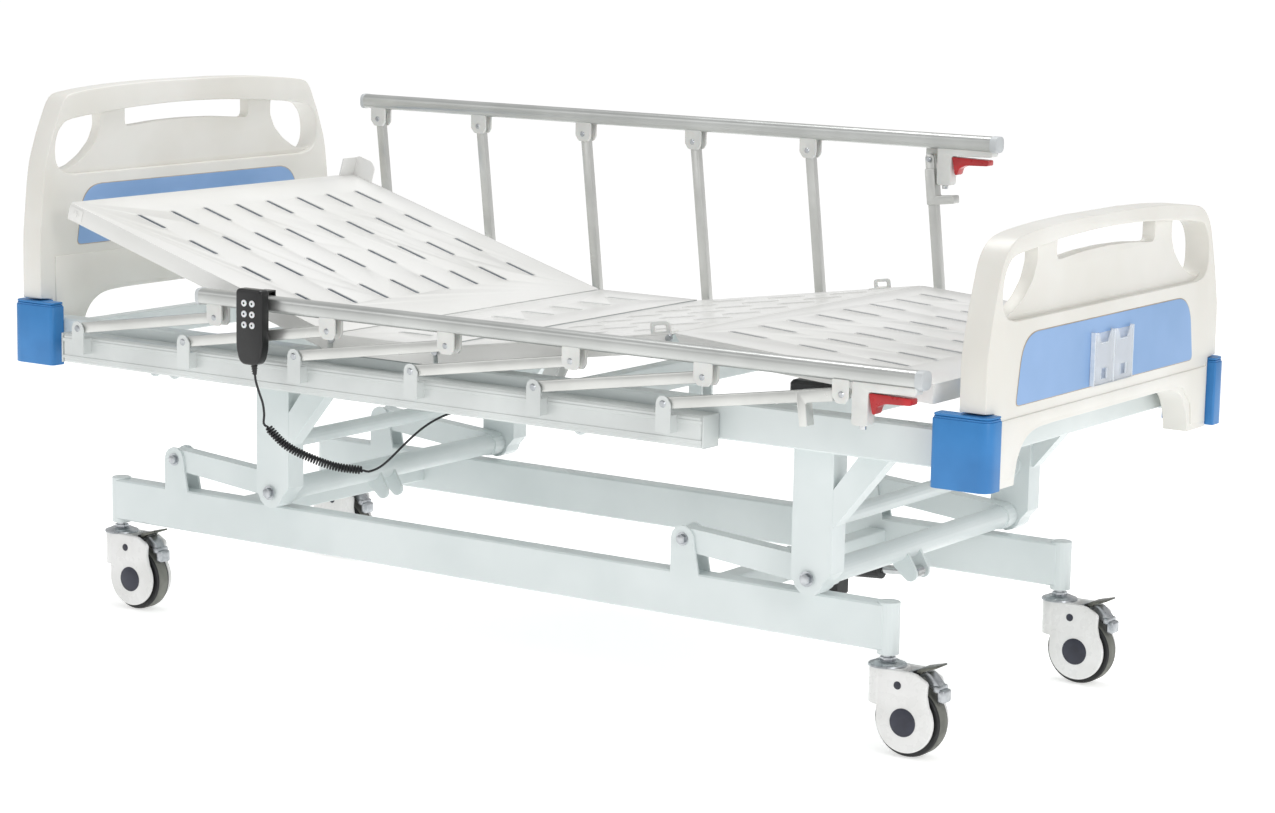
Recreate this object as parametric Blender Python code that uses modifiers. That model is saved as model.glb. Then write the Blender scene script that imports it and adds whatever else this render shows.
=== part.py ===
"""Adjustable hospital bed: a height-adjustable frame with a four-section deck, folding
side rails and castors. Metres, +Z up, +X towards the foot end, -Y is the patient's
right-hand side. The origin lies on the floor under the middle of the bed."""

import math

import bmesh
import bpy
from mathutils import Matrix, Vector

# ---- driving dimensions -------------------------------------------------------------
GAP = 0.0003
SIDES = {"right": -1, "left": 1}
ENDS = {"head": -1, "foot": 1}

# base
BASE_RAIL_Y = 0.319
BASE_RAIL_WIDTH = 0.040
BASE_RAIL_BOTTOM, BASE_RAIL_TOP = 0.176, 0.256
POST_X = {"head": -0.921, "foot": 0.834}
POST_RADIUS = 0.019
BASE_CROSS_X = {"head": -0.663, "foot": 0.452}

# lift
LIFT_PIVOT_X = {"head": -0.763, "foot": 0.427}
LIFT_PIVOT_Z = 0.315
ARM_REACH = Vector((0.281, 0.0, -0.025))
ARM_HEIGHT = 0.048
ARM_Y = (0.3035, 0.3345)
TORSION_RADIUS = 0.021
LEVER_TIP = Vector((0.308, 0.0, -0.065))
LIFT_ACTUATOR_Y = -0.05

# upper frame
FRAME_X = 1.010
FRAME_Y = (0.378, 0.420)
FRAME_Z = (0.517, 0.582)
CROSS_X = (-0.985, -0.620, -0.150, 0.200, 0.620, 0.985)
CROSS_Z = (0.522, 0.572)
LEG_WIDTH = 0.080
LEG_Y = (0.335, 0.379)
LEG_BOTTOM_RADIUS = 0.030

# deck
DECK_TOP = 0.617
DECK_HALF_WIDTH = 0.430
FLANGE = 0.034
SHEET = 0.003
BACK_HINGE_X = -0.290
BACK_LENGTH, BACK_TILT = 0.683, math.radians(16.6)
SEAT_X = (-0.286, -0.054)
THIGH_HINGE_X = -0.050
THIGH_LENGTH, THIGH_TILT = 0.515, math.radians(8.3)
CALF_LENGTH, CALF_TILT = 0.508, math.radians(-4.0)
SLOT_LENGTH, SLOT_WIDTH = 0.073, 0.009
SLOT_PITCH_X, SLOT_PITCH_Y = 0.139, 0.095
SLOTS_ACROSS = 8

# actuators under the deck
BACK_ACTUATOR_BASE = Vector((0.200, 0.060, 0.470))
BACK_LEVER_TIP = Vector((-0.245, 0.060, 0.4676))
LEG_ACTUATOR_BASE = Vector((0.620, -0.060, 0.500))
LEG_LEVER_TIP = Vector((-0.0748, -0.060, 0.477))

# boards and bumpers
BOARD_X = (1.018, 1.066)
BOARD_FOOT_RISE, BOARD_HEAD_RISE = 0.0, 0.098
BUMPER_Z = (0.492, 0.614)

# side rails
RAIL_Y = 0.480
RAIL_PIVOT_Z = 0.579
RAIL_FIRST_X, RAIL_PITCH, RAIL_BARS = -0.870, 0.2704, 6
BAR_LENGTH = 0.353
RAIL_ANGLE = {"right": math.radians(8.7), "left": math.radians(96.5)}
TOP_BAR_RISE = 0.036
TOP_BAR_BEFORE, TOP_BAR_AFTER = 0.044, 0.148

# castors
WHEEL_RADIUS = 0.0625
TRAIL = 0.049
CASTOR_TOP = BASE_RAIL_BOTTOM - 0.007

# handset and cord
HANDSET_X = -0.410
HANDSET_Y = (-0.524, -0.500)
HANDSET_Z = (0.558, 0.698)
CORD_RADIUS = 0.0022
COIL_RADIUS = 0.0085
CONTROL_BOX_LO, CONTROL_BOX_HI = Vector((-0.060, -0.280, 0.468)), Vector((0.100, -0.140, 0.515))


# ---- scene and materials ------------------------------------------------------------
def clear_scene():
    for obj in list(bpy.data.objects):
        bpy.data.objects.remove(obj)


def collection(name):
    made = bpy.data.collections.new(name)
    bpy.context.scene.collection.children.link(made)
    return made


def finish(name, colour, roughness, metallic=0.0):
    material = bpy.data.materials.new(name)
    material.use_nodes = True
    shader = material.node_tree.nodes["Principled BSDF"]
    shader.inputs["Base Color"].default_value = (*colour, 1.0)
    shader.inputs["Roughness"].default_value = roughness
    shader.inputs["Metallic"].default_value = metallic
    return material


# ---- shapes, all in world coordinates -----------------------------------------------
def from_bmesh(shape):
    mesh = bpy.data.meshes.new("shape")
    shape.to_mesh(mesh)
    shape.free()
    obj = bpy.data.objects.new("shape", mesh)
    PARTS.objects.link(obj)
    return obj


def box(lo, hi, rounding=0.0):
    lo, hi = Vector(lo), Vector(hi)
    shape = bmesh.new()
    size = Matrix.Diagonal((hi - lo).to_4d())
    bmesh.ops.create_cube(shape, size=1.0, matrix=Matrix.Translation((lo + hi) / 2) @ size)
    if rounding:
        bmesh.ops.bevel(shape, geom=shape.edges[:], offset=rounding, segments=1, affect="EDGES")
    return from_bmesh(shape)


def cylinder(start, end, radius, end_radius=None, sides=20):
    start, end = Vector(start), Vector(end)
    along = end - start
    turn = along.to_track_quat("Z", "Y").to_matrix().to_4x4()
    shape = bmesh.new()
    bmesh.ops.create_cone(
        shape,
        cap_ends=True,
        segments=sides,
        radius1=radius,
        radius2=radius if end_radius is None else end_radius,
        depth=along.length,
        matrix=Matrix.Translation((start + end) / 2) @ turn,
    )
    return from_bmesh(shape)


PLANES = {
    "XZ": Matrix(((1, 0, 0, 0), (0, 0, 1, 0), (0, 1, 0, 0), (0, 0, 0, 1))),
    "YZ": Matrix(((0, 0, 1, 0), (1, 0, 0, 0), (0, 1, 0, 0), (0, 0, 0, 1))),
    "XY": Matrix.Identity(4),
}


def plate(outline, plane, lo, hi):
    """A flat outline in the named plane, as thick as lo to hi along the third axis."""
    curve = bpy.data.curves.new("outline", "CURVE")
    curve.dimensions = "2D"
    curve.fill_mode = "BOTH"
    curve.extrude = (hi - lo) / 2
    spline = curve.splines.new("POLY")
    spline.points.add(len(outline) - 1)
    for point, (u, v) in zip(spline.points, outline):
        point.co = (u, v, 0.0, 1.0)
    spline.use_cyclic_u = True
    obj = bpy.data.objects.new("outline", curve)
    PARTS.objects.link(obj)
    obj.matrix_world = PLANES[plane] @ Matrix.Translation((0, 0, (lo + hi) / 2))
    return as_mesh(obj)


def as_mesh(outline):
    """A curve turned into a closed mesh, which a Boolean can take."""
    bpy.context.view_layer.update()
    graph = bpy.context.evaluated_depsgraph_get()
    mesh = bpy.data.meshes.new_from_object(outline.evaluated_get(graph))
    made = bpy.data.objects.new("shape", mesh)
    PARTS.objects.link(made)
    shape = bmesh.new()
    shape.from_mesh(mesh)
    bmesh.ops.transform(shape, matrix=outline.matrix_world, verts=shape.verts)
    bmesh.ops.remove_doubles(shape, verts=shape.verts, dist=0.00005)
    bmesh.ops.dissolve_limit(shape, angle_limit=0.001, verts=shape.verts, edges=shape.edges)
    bmesh.ops.recalc_face_normals(shape, faces=shape.faces)
    shape.to_mesh(mesh)
    shape.free()
    bpy.data.objects.remove(outline)
    return made


def arc(centre, radius, start, end, steps):
    """Points of a circle from start to end, in degrees."""
    points = []
    for i in range(steps + 1):
        angle = math.radians(start + (end - start) * i / steps)
        points.append((centre[0] + radius * math.cos(angle), centre[1] + radius * math.sin(angle)))
    return points


def rounded(corners, radius, steps=3):
    """The outline with each corner cut to an arc-like curve."""
    points = []
    for i, corner in enumerate(corners):
        corner = Vector(corner)
        before = Vector(corners[i - 1])
        after = Vector(corners[(i + 1) % len(corners)])
        start = corner + (before - corner).normalized() * radius
        end = corner + (after - corner).normalized() * radius
        for k in range(steps + 1):
            t = k / steps
            p = start * (1 - t) ** 2 + corner * 2 * t * (1 - t) + end * t**2
            points.append((p.x, p.y))
    return points


def moved(obj, matrix):
    obj.data.transform(matrix)
    return obj


def turned(obj, angle, pivot):
    """The object turned about the Y axis through the pivot; positive lifts its +X end."""
    pivot = Vector(pivot)
    turn = Matrix.Rotation(-angle, 4, "Y")
    return moved(obj, Matrix.Translation(pivot) @ turn @ Matrix.Translation(-pivot))


def mirrored(obj):
    """The shape on the other side of the bed."""
    shape = bmesh.new()
    shape.from_mesh(obj.data)
    bmesh.ops.scale(shape, vec=(1, -1, 1), verts=shape.verts)
    bmesh.ops.reverse_faces(shape, faces=shape.faces)
    shape.to_mesh(obj.data)
    shape.free()
    return obj


def boolean(body, other, operation):
    modifier = body.modifiers.new(operation.title(), "BOOLEAN")
    modifier.operation = operation
    modifier.solver = "EXACT"
    modifier.object = other
    bpy.context.view_layer.update()
    graph = bpy.context.evaluated_depsgraph_get()
    mesh = bpy.data.meshes.new_from_object(body.evaluated_get(graph))
    body.modifiers.clear()
    body.data = mesh
    bpy.data.objects.remove(other)


def node(name, material, pieces, holes=(), origin=(0, 0, 0), parent=None):
    """One closed body: the pieces joined, the holes cut, its origin put on its joint's axis."""
    body = pieces[0]
    for piece in pieces[1:]:
        boolean(body, piece, "UNION")
    for hole in holes:
        boolean(body, hole, "DIFFERENCE")
    origin = Vector(origin)
    body.data.transform(Matrix.Translation(-origin))
    body.location = origin
    body.name = name
    body.data.name = name
    body.data.materials.clear()
    body.data.materials.append(material)
    body.data.shade_smooth()
    body.data.set_sharp_from_angle(angle=math.radians(35))
    if parent:
        bpy.context.view_layer.update()
        body.parent = parent
        body.matrix_parent_inverse = parent.matrix_world.inverted()
    return body


def grid_cutter(boxes):
    """Many separate boxes as one cutter."""
    shape = bmesh.new()
    for lo, hi in boxes:
        lo, hi = Vector(lo), Vector(hi)
        size = Matrix.Diagonal((hi - lo).to_4d())
        bmesh.ops.create_cube(shape, size=1.0, matrix=Matrix.Translation((lo + hi) / 2) @ size)
    return from_bmesh(shape)


# ---- base and lift ------------------------------------------------------------------
def base_frame():
    inner, outer = BASE_RAIL_Y - BASE_RAIL_WIDTH / 2, BASE_RAIL_Y + BASE_RAIL_WIDTH / 2
    pieces = []
    for side in SIDES.values():
        low_y, high_y = sorted((side * inner, side * outer))
        pieces.append(
            box((POST_X["head"], low_y, BASE_RAIL_BOTTOM), (POST_X["foot"], high_y, BASE_RAIL_TOP), 0.003)
        )
        for end in ENDS:
            x, y = POST_X[end], side * BASE_RAIL_Y
            pieces.append(cylinder((x, y, CASTOR_TOP), (x, y, BASE_RAIL_TOP + 0.002), POST_RADIUS))
            pivot = LIFT_PIVOT_X[end]
            outline = [(pivot - 0.024, 0.25), (pivot + 0.036, 0.25), (pivot + 0.026, 0.300)]
            outline += arc((pivot, LIFT_PIVOT_Z), 0.024, 20, 180, 6)
            for near, far in ((inner, ARM_Y[0] - GAP), (ARM_Y[1] + GAP, outer)):
                low_y, high_y = sorted((side * near, side * far))
                pieces.append(plate(outline, "XZ", low_y, high_y))
    for end in ENDS:
        x = BASE_CROSS_X[end]
        pieces.append(box((x - 0.020, -BASE_RAIL_Y, 0.196), (x + 0.020, BASE_RAIL_Y, 0.236), 0.002))
    for side in (-1, 1):
        y = LIFT_ACTUATOR_Y + side * 0.019
        lug = [(0.455, 0.214), (0.500, 0.214)] + arc((0.500, 0.235), 0.021, -70, 90, 5) + [(0.455, 0.256)]
        pieces.append(plate(lug, "XZ", y - 0.003, y + 0.003))
    node("base_frame", FRAME_PAINT, pieces)


def lift_arm(end):
    pivot = Vector((LIFT_PIVOT_X[end], 0.0, LIFT_PIVOT_Z))
    tip = pivot + ARM_REACH
    slope = math.atan2(ARM_REACH.z, ARM_REACH.x)
    length = ARM_REACH.length
    half = ARM_HEIGHT / 2
    outline = arc((pivot.x, pivot.z), 0.021, 100, 260, 6)
    outline += arc((pivot.x + length, pivot.z), half, -90, 90, 8)
    pieces = [cylinder((tip.x, -0.31, tip.z), (tip.x, 0.31, tip.z), TORSION_RADIUS, sides=24)]
    for side in SIDES.values():
        low_y, high_y = sorted((side * ARM_Y[0], side * ARM_Y[1]))
        pieces.append(turned(plate(outline, "XZ", low_y, high_y), slope, pivot))
    lever = pivot + LEVER_TIP
    for side in (-1, 1):
        y = LIFT_ACTUATOR_Y + side * 0.022
        shape = [(tip.x - 0.018, tip.z), (tip.x - 0.006, tip.z - 0.030)]
        shape += arc((lever.x, lever.z), 0.014, 220, 380, 5) + [(tip.x + 0.019, tip.z)]
        pieces.append(plate(shape, "XZ", y - 0.003, y + 0.003))
    node(f"lift_arm_{end}", FRAME_PAINT, pieces, origin=pivot)


def actuator(name, base, tip, front, radius, rod_start, motor, slot=0.0):
    """A housing that swings on base, and a rod that slides out of it to tip."""
    base, tip = Vector(base), Vector(tip)
    along = (tip - base).normalized()
    y = base.y
    rod_radius = radius * 0.45
    body = [cylinder(base + along * 0.026, base + along * front, radius, sides=20)]
    body.append(box((base.x - 0.012, y - 0.012, base.z - 0.012), (base.x + 0.012, y + 0.012, base.z + 0.012)))
    neck = cylinder(base, base + along * 0.030, 0.011, sides=12)
    body.append(neck)
    lo, hi = motor
    body.append(box(base + Vector(lo), base + Vector(hi), 0.006))
    bore = cylinder(base + along * rod_start, base + along * (front + 0.01), rod_radius + 0.0006, sides=20)
    node(f"{name}_housing", MOTOR_PLASTIC, body, [bore], origin=base)
    reach = (tip - base).length
    rod = [cylinder(base + along * (rod_start + slot), base + along * (reach - 0.004), rod_radius, sides=20)]
    rod.append(cylinder(tip + Vector((0, -0.012, 0)), tip + Vector((0, 0.012, 0)), 0.011, sides=16))
    node(f"{name}_rod", STEEL, rod, origin=tip)


# ---- upper frame --------------------------------------------------------------------
def leg(end, side):
    """A post that hangs from the side tube to the lift pivot, with its diagonal brace."""
    x = LIFT_PIVOT_X[end] + ARM_REACH.x
    z = LIFT_PIVOT_Z + ARM_REACH.z
    left, right = x - LEG_WIDTH * 0.42, x + LEG_WIDTH * 0.56
    outline = [(left, FRAME_Z[1] - 0.01), (left, z)]
    outline += arc((x, z), LEG_BOTTOM_RADIUS, 190, 350, 6) + [(right, z + 0.012), (right, FRAME_Z[1] - 0.01)]
    low_y, high_y = sorted((side * LEG_Y[0], side * LEG_Y[1]))
    pieces = [plate(outline, "XZ", low_y, high_y)]
    outer = side * (LEG_Y[1] + 0.004)
    pieces.append(cylinder((x, side * 0.372, z), (x, outer, z), 0.011, sides=12))
    brace = [(right - 0.01, 0.385), (right + 0.004, 0.385), (right + 0.120, FRAME_Z[0] + 0.01)]
    brace += [(right + 0.060, FRAME_Z[0] + 0.01), (right - 0.01, 0.435)]
    low_y, high_y = sorted((side * 0.345, side * 0.3785))
    pieces.append(plate(brace, "XZ", low_y, high_y))
    return pieces


def upper_frame():
    pieces = []
    for side in SIDES.values():
        low_y, high_y = sorted((side * FRAME_Y[0], side * FRAME_Y[1]))
        pieces.append(box((-FRAME_X, low_y, FRAME_Z[0]), (FRAME_X, high_y, FRAME_Z[1]), 0.003))
        for end in ENDS:
            pieces += leg(end, side)
    for x in CROSS_X:
        pieces.append(box((x - 0.015, -0.390, CROSS_Z[0]), (x + 0.015, 0.390, CROSS_Z[1]), 0.002))
    for end in ENDS:
        x = LIFT_PIVOT_X[end] + ARM_REACH.x + 0.006
        pieces.append(cylinder((x, -0.340, 0.385), (x, 0.340, 0.385), 0.015, sides=16))
    for base in (BACK_ACTUATOR_BASE, LEG_ACTUATOR_BASE):
        for side in (-1, 1):
            y = base.y + side * 0.017
            lug = [(base.x - 0.014, CROSS_Z[0] + 0.01), (base.x - 0.014, base.z)]
            lug += arc((base.x, base.z), 0.014, 200, 340, 5)
            lug += [(base.x + 0.014, base.z), (base.x + 0.014, CROSS_Z[0] + 0.01)]
            pieces.append(plate(lug, "XZ", y - 0.003, y + 0.003))
    pieces.append(box(CONTROL_BOX_LO, CONTROL_BOX_HI, 0.006))
    pieces.append(box((-0.020, -0.385, 0.512), (0.060, CONTROL_BOX_HI.y - 0.02, 0.519)))
    pieces += seat_panel()
    node("upper_frame", FRAME_PAINT, pieces)


# ---- deck ---------------------------------------------------------------------------
def tray(x0, x1, z, open_at=()):
    """A folded sheet, flat on top with turned-down edges; x0 < x1, top at z."""
    body = box((x0, -DECK_HALF_WIDTH, z - FLANGE), (x1, DECK_HALF_WIDTH, z), 0.002)
    hollow = box(
        (x0 + SHEET, -DECK_HALF_WIDTH + SHEET, z - FLANGE - 0.01),
        (x1 - SHEET, DECK_HALF_WIDTH - SHEET, z - SHEET),
    )
    boolean(body, hollow, "DIFFERENCE")
    return body


def slots(first_x, rows, z, across=SLOTS_ACROSS):
    """Lengthwise slots in rows across the sheet, first_x being the first row's middle."""
    boxes = []
    for row in range(rows):
        x = first_x + row * SLOT_PITCH_X
        for column in range(across):
            y = (column - (across - 1) / 2) * SLOT_PITCH_Y
            boxes.append(
                ((x - SLOT_LENGTH / 2, y - SLOT_WIDTH / 2, z - 0.01), (x + SLOT_LENGTH / 2, y + SLOT_WIDTH / 2, z + 0.01))
            )
    return grid_cutter(boxes)


def seat_panel():
    """The fixed seat sheet, with the blocks that hold it on the side tubes."""
    sheet = tray(SEAT_X[0], SEAT_X[1], DECK_TOP)
    boolean(sheet, slots(-0.170, 1, DECK_TOP), "DIFFERENCE")
    lever_way = box((SEAT_X[0] - 0.01, 0.032, 0.570), (SEAT_X[0] + 0.024, 0.088, DECK_TOP - SHEET - 0.002))
    boolean(sheet, lever_way, "DIFFERENCE")
    pieces = [sheet]
    for side in SIDES.values():
        low_y, high_y = sorted((side * 0.385, side * 0.415))
        pieces.append(box((-0.240, low_y, 0.575), (-0.100, high_y, DECK_TOP - 0.001)))
    return pieces


def lever_plates(hinge, top_x, tip, y_off):
    """Two plates under a deck section, from its underside to the actuator's pin."""
    plates = []
    for side in (-1, 1):
        y = tip.y + side * y_off
        foot = [(top_x[0], top_x[2]), (tip.x - 0.013, tip.z)]
        foot += arc((tip.x, tip.z), 0.013, 200, 340, 5) + [(tip.x + 0.013, tip.z), (top_x[1], top_x[3])]
        plates.append(plate(foot, "XZ", y - 0.003, y + 0.003))
    return plates


def back_panel():
    hinge = Vector((BACK_HINGE_X, 0.0, DECK_TOP))
    x0, x1 = hinge.x - BACK_LENGTH, hinge.x - 0.004
    sheet = tray(x0, x1, DECK_TOP)
    boolean(sheet, slots(hinge.x - 0.557, 4, DECK_TOP), "DIFFERENCE")
    turned(sheet, -BACK_TILT, hinge)
    pieces = [sheet] + lever_plates(hinge, (-0.350, -0.310, 0.630, 0.620), BACK_LEVER_TIP, 0.0165)
    node("back_panel", DECK_PAINT, pieces, origin=hinge)


def knee_wedge(knee, side, tilt):
    """The room that the side flanges leave each other when the knee bends."""
    outline = [(knee.x + side * 0.0030, knee.z - SHEET), (knee.x + side * 0.027, knee.z - FLANGE - 0.003)]
    outline += [(knee.x - side * 0.030, knee.z - FLANGE - 0.003), (knee.x - side * 0.030, knee.z - SHEET)]
    return turned(plate(outline, "XZ", -DECK_HALF_WIDTH - 0.01, DECK_HALF_WIDTH + 0.01), tilt, knee)


def thigh_panel():
    hinge = Vector((THIGH_HINGE_X, 0.0, DECK_TOP))
    sheet = tray(hinge.x + 0.001, hinge.x + THIGH_LENGTH - 0.002, DECK_TOP)
    boolean(sheet, slots(hinge.x + 0.130, 3, DECK_TOP), "DIFFERENCE")
    turned(sheet, THIGH_TILT, hinge)
    knee = hinge + Vector((THIGH_LENGTH * math.cos(THIGH_TILT), 0, THIGH_LENGTH * math.sin(THIGH_TILT)))
    boolean(sheet, knee_wedge(knee, -1, THIGH_TILT), "DIFFERENCE")
    pieces = [sheet] + lever_plates(hinge, (-0.030, 0.010, 0.614, 0.620), LEG_LEVER_TIP, 0.0165)
    node("thigh_panel", DECK_PAINT, pieces, origin=hinge)


def calf_panel():
    hinge = Vector((THIGH_HINGE_X, 0.0, DECK_TOP))
    knee = hinge + Vector((THIGH_LENGTH * math.cos(THIGH_TILT), 0, THIGH_LENGTH * math.sin(THIGH_TILT)))
    sheet = tray(knee.x + 0.002, knee.x + CALF_LENGTH, knee.z)
    boolean(sheet, slots(knee.x + 0.090, 3, knee.z), "DIFFERENCE")
    turned(sheet, CALF_TILT, knee)
    boolean(sheet, knee_wedge(knee, 1, CALF_TILT), "DIFFERENCE")
    node("calf_panel", DECK_PAINT, [sheet], origin=knee)


# ---- end boards, bumpers, card holder -----------------------------------------------
def board_outline(rise, top):
    """The right half of the board from the arch to the top, as (y, z)."""
    half = [(0.240, 0.574 + rise * 0.45)]
    half += [(0.290, 0.566 + rise * 0.40), (0.318, 0.540 + rise * 0.3), (0.330, 0.500), (0.334, 0.487)]
    half += [(0.4085, 0.487), (0.4085, 0.6145), (0.440, 0.6175), (0.440, 0.690 + rise * 0.3)]
    half += [(0.425, 0.760 + rise), (0.410, 0.820 + rise), (0.396, 0.856 + rise), (0.372, top - 0.024)]
    half += [(0.335, top - 0.012), (0.220, top - 0.004), (0.100, top)]
    return half


def board_holes(rise, lo, hi):
    """Two side grips and the middle slot."""
    grip = [(0.268, 0.868), (0.330, 0.868), (0.365, 0.853), (0.380, 0.825), (0.384, 0.795)]
    grip += [(0.376, 0.775), (0.356, 0.768), (0.322, 0.778), (0.286, 0.806), (0.262, 0.840)]
    slot = [(-0.178, 0.842), (-0.090, 0.849), (0.0, 0.851), (0.090, 0.849), (0.178, 0.842)]
    slot += [(0.186, 0.850), (0.186, 0.870), (0.176, 0.880), (0.090, 0.888), (0.0, 0.891)]
    slot += [(-0.090, 0.888), (-0.176, 0.880), (-0.186, 0.870), (-0.186, 0.850)]
    holes = []
    for side in (-1, 1):
        holes.append(plate([(side * y, z + rise) for y, z in grip], "YZ", lo - 0.02, hi + 0.02))
    holes.append(plate([(y, z + rise) for y, z in slot], "YZ", lo - 0.02, hi + 0.02))
    return holes


def board(end):
    rise = {"head": BOARD_HEAD_RISE, "foot": BOARD_FOOT_RISE}[end]
    top = {"head": 1.030, "foot": 0.910}[end]
    half = board_outline(rise, top)
    outline = half + [(-y, z) for y, z in reversed(half)]
    lo, hi = sorted((ENDS[end] * BOARD_X[0], ENDS[end] * BOARD_X[1]))
    node(f"{end}board", BOARD_PLASTIC, [plate(outline, "YZ", lo, hi)], board_holes(rise, lo, hi))


def bumper(end, side_name):
    """A corner block that wraps the side tube's end and the board's foot."""
    sign, side = ENDS[end], SIDES[side_name]
    outline = [(0.974, 0.4205), (1.012, 0.4205), (1.012, 0.4095), (1.067, 0.4095), (1.0810, 0.4095)]
    outline += arc((1.063, 0.435), 0.018, 0, 90, 4) + [(0.982, 0.453), (0.974, 0.445)]
    outline = [(sign * x, side * y) for x, y in outline]
    node(f"bumper_{end}_{side_name}", BUMPER_PLASTIC, [plate(outline, "XY", *BUMPER_Z)])


def card_holder():
    """Two clear pockets on the footboard, with notched mouths."""
    lo, hi = BOARD_X[1] + GAP, BOARD_X[1] + 0.010
    pieces = [plate(rounded([(-0.075, 0.620), (0.075, 0.620), (0.075, 0.712), (-0.075, 0.712)], 0.004, 1), "YZ", lo, hi)]
    holes = []
    for side in (-1, 1):
        near, far = sorted((side * 0.003, side * 0.071))
        holes.append(box((lo + 0.002, near, 0.624), (hi - 0.002, far, 0.730)))
        middle = side * 0.037
        notch = [(middle - 0.022, 0.720), (middle - 0.010, 0.694), (middle + 0.010, 0.694), (middle + 0.022, 0.720)]
        holes.append(plate(notch, "YZ", hi - 0.004, hi + 0.01))
    node("card_holder", CLEAR_PLASTIC, pieces, holes)


# ---- side rails ---------------------------------------------------------------------
def rail_base(side_name):
    """A profile on the side tube, with a lug at each bar."""
    side = SIDES[side_name]
    low_y, high_y = sorted((side * (FRAME_Y[1] + GAP), side * 0.470))
    pieces = [box((-0.930, low_y, 0.506), (0.548, high_y, 0.562), 0.004)]
    for i in range(RAIL_BARS):
        x = RAIL_FIRST_X + i * RAIL_PITCH
        outline = [(x - 0.014, 0.530), (x + 0.016, 0.530), (x + 0.016, RAIL_PIVOT_Z)]
        outline += arc((x, RAIL_PIVOT_Z), 0.014, 20, 180, 5)
        low_y, high_y = sorted((side * 0.4895, side * 0.4925))
        pieces.append(plate(outline, "XZ", low_y, high_y))
        low_y, high_y = sorted((side * 0.465, side * 0.4900))
        pieces.append(box((x - 0.014, low_y, 0.530), (x + 0.016, high_y, 0.560)))
    node(f"rail_base_{side_name}", ALUMINIUM, pieces)


def rail_bar(side_name, i):
    """A bar from its lug to the top rail; the last one carries the latch's catch."""
    side = SIDES[side_name]
    pivot = Vector((RAIL_FIRST_X + i * RAIL_PITCH, side * RAIL_Y, RAIL_PIVOT_Z))
    low_y, high_y = sorted((side * 0.4745, side * 0.4885))
    outline = arc((pivot.x, pivot.z), 0.010, 90, 270, 5) + arc((pivot.x + BAR_LENGTH, pivot.z), 0.010, -90, 90, 5)
    pieces = [plate(outline, "XZ", low_y, high_y)]
    if i == RAIL_BARS - 1:
        end = pivot.x + BAR_LENGTH
        drop = pivot.z
        catch = [(end - 0.018, drop + 0.010), (end - 0.082, drop + 0.010), (end - 0.088, drop + 0.004)]
        catch += [(end - 0.088, drop - 0.050), (end - 0.072, drop - 0.050), (end - 0.071, drop - 0.011)]
        catch += [(end - 0.018, drop - 0.011)]
        low_y, high_y = sorted((side * 0.4700, side * 0.4930))
        pieces.append(plate(catch, "XZ", low_y, high_y))
    body = [turned(piece, RAIL_ANGLE[side_name], pivot) for piece in pieces]
    node(f"rail_bar_{side_name}_{i + 1}", ALUMINIUM, body, origin=pivot)


def rail_top(side_name):
    """The top rail with the blocks that hold the bars and the latch housing."""
    side, angle = SIDES[side_name], RAIL_ANGLE[side_name]
    shift = Vector((BAR_LENGTH * math.cos(angle), 0.0, BAR_LENGTH * math.sin(angle)))
    first = Vector((RAIL_FIRST_X, 0.0, RAIL_PIVOT_Z)) + shift
    last = first + Vector(((RAIL_BARS - 1) * RAIL_PITCH, 0.0, 0.0))
    z = first.z + TOP_BAR_RISE
    low_y, high_y = sorted((side * 0.464, side * 0.496))
    pieces = [box((first.x - TOP_BAR_BEFORE, low_y, z - 0.015), (last.x + TOP_BAR_AFTER, high_y, z + 0.015), 0.005)]
    for i in range(RAIL_BARS):
        x = first.x + i * RAIL_PITCH
        if i == RAIL_BARS - 1:
            break
        for near, far in ((0.4680, 0.4740), (0.4890, 0.4930)):
            low_y, high_y = sorted((side * near, side * far))
            pieces.append(box((x - 0.018, low_y, first.z - 0.014), (x + 0.024, high_y, z - 0.010)))
    low_y, high_y = sorted((side * 0.4890, side * 0.4950))
    tab = [(last.x - 0.014, z - 0.010), (last.x - 0.014, last.z), (last.x - 0.006, last.z - 0.013)]
    tab += [(last.x + 0.014, last.z - 0.013), (last.x + 0.020, z - 0.010)]
    pieces.append(plate(tab, "XZ", low_y, high_y))
    low_y, high_y = sorted((side * 0.470, side * 0.495))
    housing = [(last.x + 0.019, z - 0.012), (last.x + 0.019, last.z - 0.044), (last.x + 0.024, last.z - 0.048)]
    housing += [(last.x + 0.048, last.z - 0.048), (last.x + 0.050, last.z + 0.008)]
    housing += [(last.x + 0.132, last.z + 0.010), (last.x + 0.140, z - 0.012)]
    pieces.append(plate(housing, "XZ", low_y, high_y))
    low = last.z - 0.053
    pieces.append(cylinder((last.x + 0.034, side * RAIL_Y, low), (last.x + 0.034, side * RAIL_Y, low + 0.010), 0.006, sides=12))
    node(f"rail_top_{side_name}", ALUMINIUM, pieces, origin=(first.x + 2 * RAIL_PITCH, side * RAIL_Y, first.z))
    latch_lever(side_name, last)


def latch_lever(side_name, last):
    """The red trigger beside the latch's stem."""
    side = SIDES[side_name]
    x, z = last.x + 0.0505, last.z + 0.0074
    outline = [(x, z), (x + 0.078, z - 0.002), (x + 0.078, z - 0.012), (x + 0.030, z - 0.014)]
    outline += [(x + 0.016, z - 0.020), (x + 0.0120, z - 0.034), (x + 0.0070, z - 0.034)]
    low_y, high_y = sorted((side * 0.472, side * 0.494))
    node(f"latch_lever_{side_name}", RED_PLASTIC, [plate(outline, "XZ", low_y, high_y)], origin=(x, side * RAIL_Y, z))


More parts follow.
